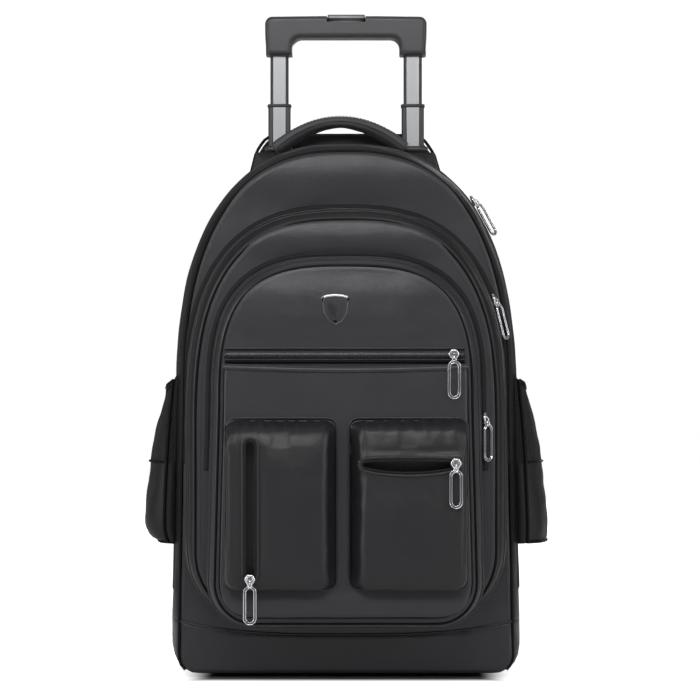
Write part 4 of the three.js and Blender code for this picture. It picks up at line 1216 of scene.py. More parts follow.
def pocket_seam(x0, x1):
    """The piping where a pocket's gusset is sewn down, with a second cord along its top."""
    foot = rounded_ring(x0 - 0.8, x1 + 0.8, pocket_low - 0.8, pocket_high + 0.8, 8, pocket_back - 0.4, 200)
    hem = rounded_ring(x0 - 0.2, x1 + 0.2, pocket_low - 0.2, pocket_high - 1.9, 8, pocket_back - 1.6, 200)
    for p in (*foot, *hem):
        p.z += 8 * smooth(150, pocket_high, p.z)
    return [
        cord_along("foot", foot, 0.9, satin_nylon, closed=True),
        cord_along("hem", [p for p in hem if p.z > 232], 0.8, satin_nylon),
    ]


# %% Left pocket, with an upright zip
left_x0, left_x1 = -104.5, -8.5
left_slit_x, left_slit_low, left_slit_high = -82.5, 102, 220


def slit_outline_left(grow, steps=10):
    half = 3.5 + grow
    points = []
    for i in range(steps + 1):
        angle = pi + pi * i / steps
        points.append((left_slit_x + half * cos(angle), left_slit_low + half + half * sin(angle)))
    for i in range(steps + 1):
        angle = pi * i / steps
        points.append((left_slit_x + half * cos(angle), left_slit_high - half + half * sin(angle)))
    return points


def puckers(p, top, reach, pitch, seed):
    """Short folds that run down from a gathered seam and fade out below it."""
    near = smooth(top - reach, top - 2, p.z)
    return near * sin(p.x * 2 * pi / pitch + 2.2 * wrinkle(p, 30, seed))


def left_relief(p, normal):
    on_front = smooth(0.4, 0.9, -normal.y)
    beside = smooth(-88, -96, p.x)
    panel = smooth(-76, -66, p.x) * smooth(-12, -34, p.x) * smooth(92, 118, p.z) * smooth(232, 196, p.z)
    folds = 1.3 * wrinkle((p[0] * 1.6, p[1], p[2] * 0.45), 26, 9.4) + 0.6 * wrinkle(p, 13, 2.2)
    calm = 1 - smooth(9, 5, abs(p.x - left_slit_x)) * on_front
    corner = smooth(-92, -100, p.x) * smooth(196, 226, p.z) * 1.6 * wrinkle((p[0] * 0.7, p[1], p[2]), 9, 1.7)
    gathers = 0.5 * puckers(p, 236, 16, 11, 3.3) * (1 - 0.5 * on_front)
    swell = on_front * (2.2 * panel + 1.2 * beside)
    return calm * (swell + folds * (0.75 - 0.2 * on_front) + gathers) + corner


left_shape = small_pocket("left_shape", left_x0, left_x1, (0, 6), left_relief, slit_outline_left(0.2))
left_foot = pocket_seam(left_x0, left_x1)
pocket_left = join("gusset_pocket_left", [left_shape, *left_foot])
place(pocket_left, "bag", "pocket_left", slot="main_fabric")


def slit_zip(name, outline, node_name, tape=4.4):
    """Zip tape and a single row of teeth round an open slit."""
    line = spread([Vector((x, pocket_face - 0.5, z)) for x, z in outline], 180)
    whole = join(name, [
        ribbon(name + "_tape", line, front_way, -1.5, -0.3, 0.6, tape_nylon, closed=True),
        ribbon(name + "_band", line, front_way, -tape, -1.9, 0.5, pocket_shade_nylon, closed=True),
        teeth(name + "_teeth", line, front_way, 1.6, (2.0, 1.0, 1.1), -0.3, closed=True),
        seam_stitches(name + "_sewn", line, front_way, closed=True, shift=-3.4, lift=0.5),
    ])
    place(whole, "bag", node_name, slot="zip_tape")


slit_zip("coil_zip_pocket_left", slit_outline_left(0.2), "zip_pocket_left")

# %% Right pocket, with a level zip that hangs open
right_x0, right_x1 = 3.5, 105.5
mouth_x, mouth_half, mouth_z, mouth_sag, mouth_open = 54.5, 39.5, 200, 1.5, 4.6


def mouth_outline(grow, steps=24):
    half = mouth_half + grow
    edges = []
    for up in (-1, 1):
        side = []
        for i in range(steps + 1):
            t = lerp(-1, 1, i / steps)
            drop = mouth_sag * cos(t * pi / 2)
            opening = mouth_open * sqrt(max(1 - (0.96 * t) ** 2, 0)) + grow
            side.append((mouth_x + t * half, mouth_z - drop + up * opening))
        edges.append(side)
    return [*edges[0], *reversed(edges[1])]


def right_relief(p, normal):
    on_front = smooth(0.4, 0.9, -normal.y)
    below = smooth(192, 150, p.z) * smooth(92, 125, p.z) * smooth(12, 40, p.x) * smooth(105, 80, p.x)
    upper = smooth(205, 213, p.z) * smooth(232, 222, p.z)
    folds = 1.3 * wrinkle((p[0] * 1.3, p[1], p[2] * 0.45), 28, 4.9) + 0.6 * wrinkle(p, 12, 8.2)
    mouth = mouth_z - mouth_sag * cos(max(min((p.x - mouth_x) / mouth_half, 1), -1) * pi / 2)
    calm = 1 - smooth(11, 6, abs(p.z - mouth)) * on_front
    gathers = 0.5 * puckers(p, 236, 20, 13, 5.1) * (1 - 0.4 * on_front)
    lip_fold = -1.1 * smooth(22, 12, p.x) * smooth(222, 208, p.z) * smooth(150, 190, p.z) * on_front
    swell = on_front * (2.4 * below - 1.4 * upper)
    return calm * (swell + folds * (0.7 - 0.15 * on_front) + gathers) + lip_fold


right_shape = small_pocket("right_shape", right_x0, right_x1, (9, 0), right_relief, mouth_outline(0.2))
right_foot = pocket_seam(right_x0, right_x1)
pocket_right = join("gusset_pocket_right", [right_shape, *right_foot])
place(pocket_right, "bag", "pocket_right", slot="main_fabric")
slit_zip("coil_zip_pocket_right", mouth_outline(0.2), "zip_pocket_right")

# %% [markdown]
# ## Side pockets
# A gathered pocket stands out on either side. Its upper half is open net with a bound elastic hem
# that dips in the middle, and its lower half is smooth nylon. The section is a bulging D that gets
# flatter towards the hem, so it is skinned from rows of such sections and thickened.

# %% Side pockets
side_low, side_high, side_depth = 122.5, 278, 78
side_bulge, side_dip = 27, 14
side_back, side_front_y = 72.2, -5.8
side_upper_rows = [(0.14, 1), (0.3, 0.96), (0.56, 0.83), (0.76, 0.64), (0.9, 0.45), (1, 0.3)]
side_rows = {
    -1: [(0, 0.5), (0.03, 0.78), (0.08, 0.96), *side_upper_rows],
    1: [(0, 0.96), (0.08, 1), *side_upper_rows],
}


def side_hem(y):
    t = (side_back - y) / side_depth
    return side_high - side_dip * max(sin(pi * min(max(t, 0), 1)), 0) ** 0.42 - 1


def side_section(side, up, count=44):
    """One level of the pocket: from the back seam, out round the bulge, to the front seam."""
    out = side_bulge * through(side_rows[side], up)
    row = []
    for i in range(count + 1):
        t = i / count
        swell = max(sin(pi * t), 0) ** 0.42
        y = lerp(side_back, side_front_y, t)
        hem = side_hem(y)
        z = lerp(side_low, hem, up)
        body = width_at(main_form, z) - 2.2 * smooth(0.12, 0, t) - 3.5 * smooth(0.86, 1, t)
        row.append(Vector((side * (body + 0.4 + out * swell), y, z)))
    return row


def side_pocket(side, word):
    levels = 44
    rows = [side_section(side, k / levels) for k in range(levels + 1)]
    floor_rows = []
    for k in (0.0, 0.25, 0.5, 0.75):
        sink = 1.2 * sin(pi * k)
        floor_rows.append([
            Vector((side * lerp(width_at(main_form, p.z) - 0.5, abs(p.x), k), p.y, p.z - sink))
            for p in rows[0]
        ])
    piece = make(f"net_shape_{word}", skin([*floor_rows, *rows], closed=False), pocket_net, merge=0.05)
    look_to(piece, Vector((side, 0, 0)))
    net_line = 196

    def relief(p, normal):
        t = (side_back - p.y) / side_depth
        held = smooth(0, 0.1, t) * smooth(1, 0.9, t) * smooth(side_low, side_low + 6, p.z)
        gather = 1.1 * sin(t * 62 + 1.8 * wrinkle(p, 30, 3.3)) * smooth(215, 262, p.z) * 0.7
        folds = 2.0 * wrinkle((p[0], p[1] * 1.4, p[2] * 0.6), 30, 6.6 + side) + 0.7 * wrinkle(p, 13, 1.9)
        return held * (gather + folds)

    displace(piece, relief)
    piece.data.materials.append(side_shade_nylon)
    for face in piece.data.polygons:
        face.material_index = 1 if face.center.z < net_line * mm else 0
    thicken(piece, 1.2)
    hem = [Vector((p.x + side * 0.4, p.y, p.z - 1.5)) for p in rows[-1]][2:-2]
    seam_row = min(rows, key=lambda r: abs(r[22].z - net_line))
    seam = [Vector((p.x + side * 0.8, p.y, net_line)) for p in seam_row][2:-2]
    outward = Vector((side, 0, 0))
    parts = [
        piece,
        ribbon("hem", hem, [Vector((side, -0.001, 0))] * len(hem), -4, 1.5, 0.8, trim_and_groove_shade_nylon),
        cord_along("hem_edge", [p + Vector((side * 0.3, 0, 1.2)) for p in hem], 1.2, trim_and_groove_shade_nylon),
        cord_along("net_seam", seam, 0.9, trim_and_groove_shade_nylon),
        cord_along("front_bind", [r[-2] + Vector((side * 0.8, -0.6, 0)) for r in rows], 1.5, trim_and_groove_shade_nylon),
        cord_along("bottom_bind", [p + Vector((side * 0.3, 0, 0.2)) for p in rows[0]][2:-1], 1.4, trim_and_groove_shade_nylon),
        seam_stitches("hem_sewn", hem, [outward] * len(hem), shift=-2.8, lift=0.9),
    ]
    whole = join(f"net_pocket_{word}", parts)
    place(whole, "bag", f"side_pocket_{word}", slot="net_fabric")
for side, word in both_sides:
    side_pocket(side, word)

# %% [markdown]
# ## Zip sliders and ring pulls
# The bright parts catch the eye most. Each slider is a domed shell, wide where the two rows of
# teeth part and narrow at its tail, with a bridge over it. An oval ring hangs from the bridge: a
# flat polished loop with a groove round its middle. They are built once round the origin and placed
# with the same turn and lean as in the frame.

# %% Slider and pull shapes
slider_thickness, slider_length = 3.4, 9
pull_width, pull_length = 11.6, 34
tablet_reach = 7


def slider_mesh(name, reach):
    """A round rosette with its hole painted as a dark disc (painted shade), a neck below it and a bail that
    reaches out to the pull.
    """
    rings = []
    dome = ((0, 0.86), (-0.8, 1.0), (-2.2, 1.0), (-3.0, 0.9), (-3.3, 0.72), (-3.0, 0.5), (-3.0, 0.3))
    for y, share in dome:
        ring = []
        for i in range(48):
            angle = i / 48 * 2 * pi
            radius = 4.7 * share * (1 + 0.05 * cos(6 * angle) * smooth(0.6, 0.9, share))
            ring.append(Vector((radius * cos(angle), y, 0.4 + radius * sin(angle))))
        rings.append(ring)
    body = make(name, capped(rings), chrome)
    neck = []
    for y, inset in ((0, 0.3), (-0.5, 0), (-2.0, 0), (-2.7, 0.6)):
        neck.append(rounded_ring(inset - 2.3, 2.3 - inset, inset - 5.7, -0.9 - inset, 1.0, y, 24))
    arch = []
    for i in range(17):
        t = i / 16
        out = 2.2 + 2.6 * sin(pi * t) ** 0.6 + reach * 0.54 * sin(pi * t) ** 0.4
        arch.append(Vector((0, -out, lerp(1.2, -5.0, t))))
    hole_shade = []
    for y, radius in ((-2.9, 1.9), (-3.15, 1.8), (-3.15, 0.3)):
        hole_shade.append([Vector((radius * cos(a), y, 1.4 + radius * sin(a))) for a in angles(20)])
    return [
        body, make(name + "_neck", capped(neck), chrome),
        cord_along(name + "_bridge", arch, 0.7, chrome),
        make(name + "_eye", capped(hole_shade), painted_shade_chrome),
    ]


def oval(width, length, count=56):
    radius = width / 2
    points = []
    for centre, first in ((length / 2 - radius, 0), (-length / 2 + radius, 180)):
        for i in range(15):
            angle = radians(first + 180 * i / 14)
            points.append((radius * cos(angle), centre + radius * sin(angle)))
    return spread(points, count)


def pull_mesh(name, reach):
    """A loop of flat bar whose face has a wide groove between two bright rims, lined with dark chrome as
    painted shade.
    """
    middle_drop = -slider_length / 2 - 0.3 - pull_length / 2
    front = -slider_thickness * 0.4 - reach

    def loop_rings(section):
        rings = []
        for inset, y in section:
            flat = oval(pull_width - 2 * inset, pull_length - 2 * inset)
            rings.append([Vector((p[0], y + front, p[1] + middle_drop)) for p in flat])
        return rings

    rings = loop_rings([
        (0.0, -0.2), (0.0, -1.5), (0.2, -1.76), (0.5, -1.78), (0.72, -1.5), (0.8, -1.2), (1.9, -1.2),
        (1.98, -1.5), (2.2, -1.78), (2.5, -1.76), (2.7, -1.5), (2.7, -0.4), (2.5, -0.1), (0.3, 0.0),
    ])
    loop = make(name, skin([*rings, rings[0]]), chrome)
    groove_rings = loop_rings([(0.76, -1.25), (1.34, -1.3), (1.94, -1.25)])
    groove = make(name + "_groove", skin(groove_rings), painted_shade_chrome)
    low = -slider_length / 2 - 0.4
    ring = [Vector((1.7 * sin(a), -2.8 - reach * 0.86, low + 2.2 * cos(a))) for a in angles(12)]
    return [loop, groove, cord_along(name + "_joint", ring, 0.7, chrome, closed=True)]


def edge_lean(form, z):
    lower = z - slider_length / 2 - pull_length
    return atan2(width_at(form, lower) - width_at(form, z), z - lower)


slider_places = {
    "main": ((width_at(main_form, 438) + 1.6, 33.2, 438), 90, edge_lean(main_form, 438)),
    "middle": ((width_at(middle_form, 345) + 2.5, -23.1, 345), 90, edge_lean(middle_form, 345)),
    "front": ((width_at(front_form, 239) + 3.5, -73.4, 239), 75, 0),
    "tablet": ((94.5, -99.6, 295), 0, 0),
    "pocket_left": ((-82.5, -129.2, 101), 0, 0),
    "pocket_right": ((95, -129.2, 201), 0, 0),
}
pull_swing = {"main": 35, "middle": 35, "front": 30}
for key, (spot, turn_degrees, lean) in slider_places.items():
    where = (
        Matrix.Translation(Vector(spot) * mm)
        @ Matrix.Rotation(radians(turn_degrees), 4, "Z")
        @ Matrix.Rotation(-lean, 4, "X")
    )
    reach = tablet_reach if key == "tablet" else 0
    slider = join(f"zip_slider_{key}", slider_mesh("body", reach))
    pull = join(f"ring_pull_{key}", pull_mesh("loop", reach))
    if key in pull_swing:
        swing = Matrix.Rotation(radians(-pull_swing[key]), 4, "Z")
        pull.data.transform(Matrix.Translation(Vector((0, -2.4, 0)) * mm) @ swing)
    for piece, cad in ((slider, f"slider_{key}"), (pull, f"pull_{key}")):
        piece.data.transform(where)
        place(piece, "bag", cad, slot="chrome")

# %% [markdown]
# ## Badge
# A small shield sits above the tablet pocket. It is left bare: a black face in a rim with a thin
# metal edge, bright silver over its top as a painted highlight and dark chrome round the rest as painted
# shade.

# %% Badge
badge_x, badge_top, badge_width, badge_height = -9, 349, 24.5, 27
shield = [
    (-0.5, -0.06), (-0.28, 0.0), (0.0, 0.02), (0.28, 0.0), (0.5, -0.06), (0.47, -0.3), (0.43, -0.6),
    (0.24, -0.88), (0, -1), (-0.24, -0.88), (-0.43, -0.6), (-0.47, -0.3),
]


def shield_ring(share, y, count=96):
    wide, high = badge_width * share, badge_height * share
    points = [(badge_x + x * wide, badge_top - 15 + (z + 0.5) * high) for x, z in shield]
    return upright(spread(points, count), y)


badge_back = -99.4
rim_rows = [(1.0, 1.2), (1.0, 0), (0.96, -0.9), (0.90, -1.1), (0.86, -0.7), (0.85, -0.2)]
face_rows = [(0.84, -0.5), (0.5, -0.9), (0.1, -1.0)]
rim = make("badge_rim", capped([shield_ring(s, badge_back + y) for s, y in rim_rows]), black_plastic)
rim_line = shield_ring(0.93, badge_back - 0.9, 160)
top_line = sorted([p for p in rim_line if p.z > badge_top - 7.5], key=lambda p: p.x)
badge_face = make("badge_face", capped([shield_ring(s, badge_back + y) for s, y in face_rows]), black_plastic)
badge = join("badge_shield", [
    rim, badge_face,
    # Painted highlight on the top of the rim's edge, and painted shade along the rest of it.
    ribbon("badge_bow", top_line, front_way, -1.1, 1.1, 0.7, badge_highlight_silver),
    cord_along("badge_edge", rim_line, 0.45, painted_shade_chrome, closed=True),
])
place(badge, "bag", "badge", slot="black_plastic")

# %% [markdown]
# ## Pull handle
# The grip is one moulded bow: a rounded bar on two flared legs that take the tubes, with a push
# button let into its top. It is skinned from rings of a rounded section, so the bar's underside
# rolls into the legs. Each tube is an extruded aluminium profile: a bright flat face between two
# rails in a darker copy of the same aluminium, which paints shade on the tube's sides.

# %% Grip
grip_y = 95.5
tube_x = 64
grip_half_depth = 13


def grip_outline(inset):
    """The bow seen from the front: outer edge, legs and rounded inner opening."""
    left, right, low, high = -77.5, 77.5, 580.5, 619
    inner, bar_low = 51, 597
    points = []

    def corner(cx, cz, radius, first, last, steps=8):
        for i in range(steps + 1):
            angle = radians(lerp(first, last, i / steps))
            points.append((cx + radius * cos(angle), cz + radius * sin(angle)))

    r = 7 - inset * 0.5
    corner(right - inset - r + 0.5, high - inset - r, r, 90, 0)
    corner(right - inset - 1.5, low + inset + 1.5, 1.5, 0, -90, 4)
    corner(inner + inset + 1.0, low + inset + 1.0, 1.0, -90, -180, 4)
    q = 9 + inset * 0.3
    corner(inner + inset - q, bar_low + inset - q, q, 0, 90)
    corner(-inner - inset + q, bar_low + inset - q, q, 90, 180)
    corner(-inner - inset - 1.0, low + inset + 1.0, 1.0, 0, -90, 4)
    corner(left + inset + 1.5, low + inset + 1.5, 1.5, -90, -180, 4)
    corner(left + inset + r - 0.5, high - inset - r, r, 180, 90)
    return spread(points, 320)


grip_rings = []
for k in range(17):
    angle = lerp(-pi / 2, pi / 2, k / 16)
    inset = 5.2 * (1 - cos(angle) ** 0.55)
    y = grip_y + grip_half_depth * sin(angle)
    ring = [Vector((p[0], y, p[1])) for p in grip_outline(inset)]
    for p in ring:
        p.z += 0.7 * cos(min(abs(p.x) / 77.5, 1) * pi / 2) * smooth(598, 612, p.z)
        p.x *= 1 + 0.012 * smooth(600, 590, p.z) * -1 * (0.5 if abs(p.x) > 64 else 0)
    grip_rings.append(ring)
caps = [tuple(range(320)), tuple(16 * 320 + i for i in reversed(range(320)))]
corners, faces = skin(grip_rings)
grip = make("grip_bow", (corners, [*faces, *caps]), grip_plastic, merge=0)
button_recess = prism("recess", round_box(0, grip_y, 18.8, 7.3, 40, (0.4, 0.5)), "z", 608, 640)
tube_slots = [
    prism("leg_slot", round_box(side * tube_x, grip_y, 9.3, 5.5, 32, (0.5, 0.5)), "z", 560, 593.8)
    for side, word in both_sides
]
notch_edge = [(-18.4, 612.6), (18.4, 612.6), (18.4, 640), (-18.4, 640)]
carve(grip, [button_recess, prism("notch", notch_edge, "y", 80, grip_y - 4), *tube_slots])
grip.data.set_sharp_from_angle(angle=radians(40))
even_shading(grip)
place(grip, "handle_inner", "grip", slot="grip_plastic")

# %% Button: a pale plate with finger ridges, in the grip's top
rows = [
    level(round_box(0, grip_y, 17.9 - inset, 6.4 - inset, 48, (0.4, 0.5)), z)
    for inset, z in ((1.2, 611.4), (0.0, 612.0), (0.0, 620.0), (0.5, 620.6), (1.4, 620.8))
]
button_plate = moulded_material("button_plate", (0.30, 0.30, 0.31), 0.35, 0.7, 0.05, (0.4, 0.4, 0.41))
button_parts = [make("button", capped(rows), button_plate)]
for x in (-9, -6, -3, 0, 3, 6, 9):
    ridge = [Vector((x, grip_y + y, 620.75)) for y in (-4.2, -2, 0, 2, 4.2)]
    button_parts.append(cord_along("ridge", ridge, 0.45, button_plate, sides=6))
lip_rings = []
for k in range(9):
    turn = k / 8 * pi / 2
    y = grip_y - 5 - 6.9 * sin(turn)
    high = 620.4 - 1.1 * (1 - cos(turn))
    half = 17.8 - 0.5 * smooth(0.8, 1, k / 8)
    lip_edge = [(-half, 616.0), (half, 616.0), (half, high), (-half, high)]
    lip_rings.append(upright(lip_edge, y))
lip = make("button_lip", capped(lip_rings), grip_plastic)
modify(lip, "BEVEL", width=0.5 * mm, segments=3)
band_edge = [(-16.8, 616.4), (16.8, 616.4), (16.8, 618.6), (-16.8, 618.6)]
band = prism("button_band", band_edge, "y", grip_y - 12.2, grip_y - 11.4, button_plate)
button_parts += [apply_modifiers(lip), band]
button = join("grip_push_button", button_parts)
place(button, "button", "grip_button", slot="black_plastic")


# %% Tubes: an extruded profile with a raised bright face
tube_band = 6.1


def tube_profile(width, depth):
    """Half-rounded rails either side of a flat face, front and back."""
    half, deep = width / 2, depth / 2
    band = tube_band
    right = [
        (0, -deep, 1), (band - 0.3, -deep, 1), (band, -deep + 0.25, 0), (band + 0.35, -deep + 0.55, 0),
        (band + 0.75, -deep + 0.25, 0), (max(half - 1.1, band + 1.1), -deep + 0.35, 0),
        (half - 0.35, -deep + 1.2, 0), (half, -deep + 2.4, 0),
    ]
    rear = [(x, -y, bright) for x, y, bright in reversed(right)]
    right_side = [*right, *rear]
    left_side = [(-x, y, bright) for x, y, bright in reversed(right_side)][1:-1]
    return [*right_side, *left_side]


def tube_piece(name, x, width, depth, low, high, collar=None):
    profile_points = tube_profile(width, depth)
    levels = [low, lerp(low, high, 0.5), high]
    rings = [[Vector((x + a, grip_y + b, z)) for a, b, _ in profile_points] for z in levels]
    piece = make(name, skin(rings), tube_side, merge=0)
    piece.data.materials.append(tube_face)
    # Faces that look forward or back in the band take the bright aluminium; the rest take the darker copy,
    # painted shade.
    for face in piece.data.polygons:
        middle = face.center / mm
        bright = abs(middle.x - x) < tube_band and abs(face.normal.y) > 0.7
        face.material_index = 1 if bright else 0
        face.use_smooth = False
    thicken(piece, 1.1)
    parts = [piece]
    if collar:
        rows = []
        for more, z in collar:
            box = round_box(x, grip_y, width / 2 + more, depth / 2 + more, 48, (0.35, 0.45))
            rows.append(level(box, z))
        parts.append(make(name + "_collar", skin([*rows, rows[0]]), black_plastic))
    return join(name, parts)


for side, word in both_sides:
    x = side * tube_x
    inner = tube_piece(f"inner_tube_{word}_profile", x, 17.6, 10, 250, 593.2)
    middle = tube_piece(
        f"middle_tube_{word}_profile", x, 21.4, 13.8, 218.3, 534.2,
        [(-1.4, 531.8), (0.5, 531.8), (0.9, 532.4), (0.9, 534.2), (0.5, 534.8), (-1.4, 534.8)],
    )
    place(inner, "handle_inner", f"inner_tube_{word}", slot="tube_metal")
    place(middle, "handle_middle", f"middle_tube_{word}", slot="tube_metal")

# %% [markdown]
# ## Carry handle
# A padded arch of cloth round a foam core, sewn to the top of the bag in front of the tubes. It
# is swept along its arch, then blown up slightly as cloth, so it rounds and creases as a real one.

# %% Cloth simulation for padded pieces
def puff(piece, voxel=4.5, pressure=4.0, cap=5.0, frames=20, smooth_after=1):
    """Voxel remesh, a short pressure simulation and a cap on how far any point moves, in mm."""
    modify(piece, "REMESH", mode="VOXEL", voxel_size=voxel * mm)
    apply_modifiers(piece)
    rest = [v.co.copy() for v in piece.data.vertices]
    scene = bpy.context.scene
    cloth = modify(piece, "CLOTH")
    settings = cloth.settings
    settings.quality = 5
    settings.mass = 0.3
    settings.use_pressure = True
    settings.uniform_pressure_force = pressure
    settings.effector_weights.gravity = 0
    settings.tension_stiffness = 15
    settings.compression_stiffness = 15
    cloth.point_cache.frame_start = 1
    cloth.point_cache.frame_end = frames
    for number in range(1, frames + 1):
        scene.frame_set(number)
    apply_modifiers(piece)
    scene.frame_set(1)
    if len(piece.data.vertices) == len(rest):
        for v, start_at in zip(piece.data.vertices, rest):
            step = v.co - start_at
            if step.length > cap * mm:
                v.co = start_at + step * (cap * mm / step.length)
    modify(piece, "SMOOTH", factor=0.5, iterations=smooth_after)
    subdivide(piece)
    piece.data.shade_smooth()
    return piece


def swept(name, stations, section, material):
    """A closed bar along stations: each is a place, a way across, a way out and two half sizes."""
    rings = []
    for at, across, out, half_wide, half_thick in stations:
        rings.append([at + across * (a * half_wide) + out * (b * half_thick) for a, b in section])
    return make(name, capped(rings), material)


carry_y = 65.2
carry_shift, carry_half, carry_middle = -5.8, 63, 515


def carry_point(t):
    end_z = 485.5 if t < 0 else 487
    z = end_z + (carry_middle - end_z) * max(cos(t * pi / 2), 0) ** 0.8
    return Vector((carry_shift + carry_half * t, carry_y, z))


carry_stations = []
for i in range(49):
    t = lerp(-0.97, 0.97, i / 48)
    ahead = (carry_point(t + 0.01) - carry_point(t - 0.01)).normalized()
    out = Vector((-ahead.z, 0, ahead.x))
    carry_stations.append((carry_point(t), Vector((0, 1, 0)), out, 13.4, 5.2 + 1.2 * abs(t) ** 2))
carry = swept("carry_handle_pad", carry_stations, round_box(0, 0, 1, 1, 32, (0.6, 0.6)), handle_nylon)
puff(carry, voxel=2.4, pressure=3.0, cap=1.5)
carry_lines = []
for y_shift, drop in ((-13.6, 0.0), (13.6, 0.0)):
    line = [p[0] + Vector((0, y_shift, 0)) + p[2] * drop for p in carry_stations]
    carry_lines.append(cord_along("carry_edge", line, 0.7, handle_nylon))
for y_shift in (-10.2, 10.2):
    line = [p[0] + Vector((0, y_shift, 0)) + p[2] * (p[4] * 0.86 + 0.4) for p in carry_stations]
    carry_lines.append(seam_stitches("carry_sewn", line, [p[2] for p in carry_stations], lift=0.1))
carry_trim = join("carry_handle_trim", carry_lines)
place(carry, "bag", "carry_handle", slot="padded_fabric", padded=0.8)
place(carry_trim, "bag", slot="padded_fabric")

# %% [markdown]
# ## Back
# The photograph doesn't show the back, so it is finished plainly: a padded panel with sewn
# channels, a net lumbar pad, two shoulder straps with ladder buckles and webbing, and a plastic
# collar on top that the tubes come out of.

# %% Back panel, with channels pressed between its cushions
back_form = {**main_form, "bottom": 66.3, "top": 478}
back_inset = 6
panel_near, panel_far = 83.6, 107.4
back_plane = 107.9
hump = [(99, 440), (84, 487), (80, 493.5), (76, 499), (72.5, 503), (67, 505)]


def panel_outline(count=240):
    """The bag's outline with a hump on top for the tubes."""
    flat = bag_outline(back_form, -back_inset)
    top_z = hump[-1][1]

    def hump_half(z):
        for (x0, z0), (x1, z1) in zip(hump, hump[1:]):
            if z0 <= z <= z1:
                return lerp(x0, x1, (z - z0) / (z1 - z0))
        return 0
    joined = []
    for x, z in flat:
        if z > 441 and abs(x) <= hump_half(min(z, top_z)) + 0.5:
            continue
        joined.append((x, z))
    right = [p for p in joined if p[0] > 0 or (p[0] == 0 and p[1] < 200)]
    right = sorted([p for p in right if p[1] < 460 or p[0] > 88], key=lambda p: p[1] + 0.05 * p[0])
    bump_points = [p for p in hump if p[1] > right[-1][1] + 3]
    right += bump_points
    left = []
    for x, z in reversed(right):
        if x > 0:
            left.append((-x - 3.5 * smooth(478, 492, z), z))
    return spread([*right, (0, top_z + 0.3), *left], count)


panel_flat = panel_outline()
panel_rings = []
panel_rows = [
    (1.5, panel_near), (0.3, panel_near + 1.2), (0, panel_near + 4), (0, 100), (0.4, 103.4), (1.8, 106.0),
    (4.2, panel_far),
]
for shrink_by, y in panel_rows:
    ring = []
    count = len(panel_flat)
    for i, p in enumerate(panel_flat):
        along = (panel_flat[(i + 1) % count] - panel_flat[i - 1]).normalized()
        ring.append(Vector((p[0] - along[1] * shrink_by, y, p[1] + along[0] * shrink_by)))
    panel_rings.append(ring)
near_close = inward(panel_rings[0], 6, 150, 400)
panel_skin = skin([*reversed(near_close), *panel_rings, *inward(panel_rings[-1], 34, 150, 400)])
back_panel = make("back_cushions", panel_skin, strap_nylon)


def net_half(z, highest):
    """Half of the net part's width at height z."""
    return width_at(back_form, max(min(z, highest), 70), -back_inset) - 14


def panel_relief(p, normal):
    rear = smooth(0.6, 0.95, normal.y)
    if rear == 0:
        return 0.4 * wrinkle(p, 30, 5.5)
    middle = smooth(13, 4, abs(p.x))
    rows = 0
    for level in (250, 330, 410):
        rows = max(rows, smooth(9, 2, abs(p.z - level - 0.18 * abs(p.x))))
    border = smooth(9, 3, net_half(p.z, 470) - abs(p.x)) if p.z < 430 else 0
    pressed = max(middle * smooth(200, 215, p.z), rows * smooth(120, 112, abs(p.x)), border * 0.7)
    return rear * (0.3 * wrinkle(p, 40, 2.2) - 4.5 * pressed)


displace(back_panel, panel_relief)
net_part = back_panel.data.materials
net_part.append(back_net)
for face in back_panel.data.polygons:
    middle = face.center / mm
    if face.normal.y > 0.3 and middle.y > 98 and middle.z < 470:
        if abs(middle.x) < net_half(middle.z, 465):
            face.material_index = 1
socket_cutters = [
    prism("socket", round_box(side * tube_x, grip_y, 13.0, 9.2, 32), "z", 20, 520)
    for side, word in both_sides
]
for side, word in both_sides:
    room = [(side * 49.1, 60), (side * 49.1, 105.1), (side * 130, 105.1), (side * 130, 60)]
    socket_cutters.append(prism("collar_room", room, "z", 488, 540))
carve(back_panel, [*socket_cutters, *wheel_notches()])
back_panel.data.shade_smooth()
panel_pipe = [Vector((p.x, 101.5, p.z)) for p in panel_rings[3]]
out_of_panel = ring_outside(panel_pipe)
panel_pipe = [p + out * 0.9 for p, out in zip(panel_pipe, out_of_panel)]
upper_pipe, _ = above(panel_pipe, out_of_panel, 76)
back_panel = join("back_cushions", [back_panel, cord_along("panel_pipe", upper_pipe, 1.5, trim_and_groove_shade_nylon)])
place(back_panel, "bag", "back_panel", slot="padded_fabric")

# %% A moulded collar round each tube
for side, word in both_sides:
    rows = [
        level(round_box(side * tube_x, 94.4, 14.5, 10.4, 80, (0.3, 0.3), inset, 0.5), z)
        for inset, z in ((0.8, 488.3), (0, 489.1), (0, 492.6), (0.7, 493.8), (2.2, 494.3))
    ]
    bezel = make(f"tube_collar_{word}", capped(rows), black_plastic)
    carve(bezel, [prism("hole", round_box(side * tube_x, grip_y, 11.4, 7.6, 32), "z", 480, 520)])
    bezel.data.shade_smooth()
    place(bezel, "bag", f"handle_bezel_{word}", slot="black_plastic")

# %% Outer tubes, hidden in the panel
for side, word in both_sides:
    outer = tube_piece(f"outer_tube_{word}_profile", side * tube_x, 25.2, 17.6, 22, 487.8)
    place(outer, "bag", f"outer_tube_{word}", slot="tube_metal")

# %% Lumbar pad, blown up as cloth
def rounded_flat(cx, cz, width, height, radius, y, count=120):
    return rounded_ring(cx - width / 2, cx + width / 2, cz - height / 2, cz + height / 2, radius, y, count)


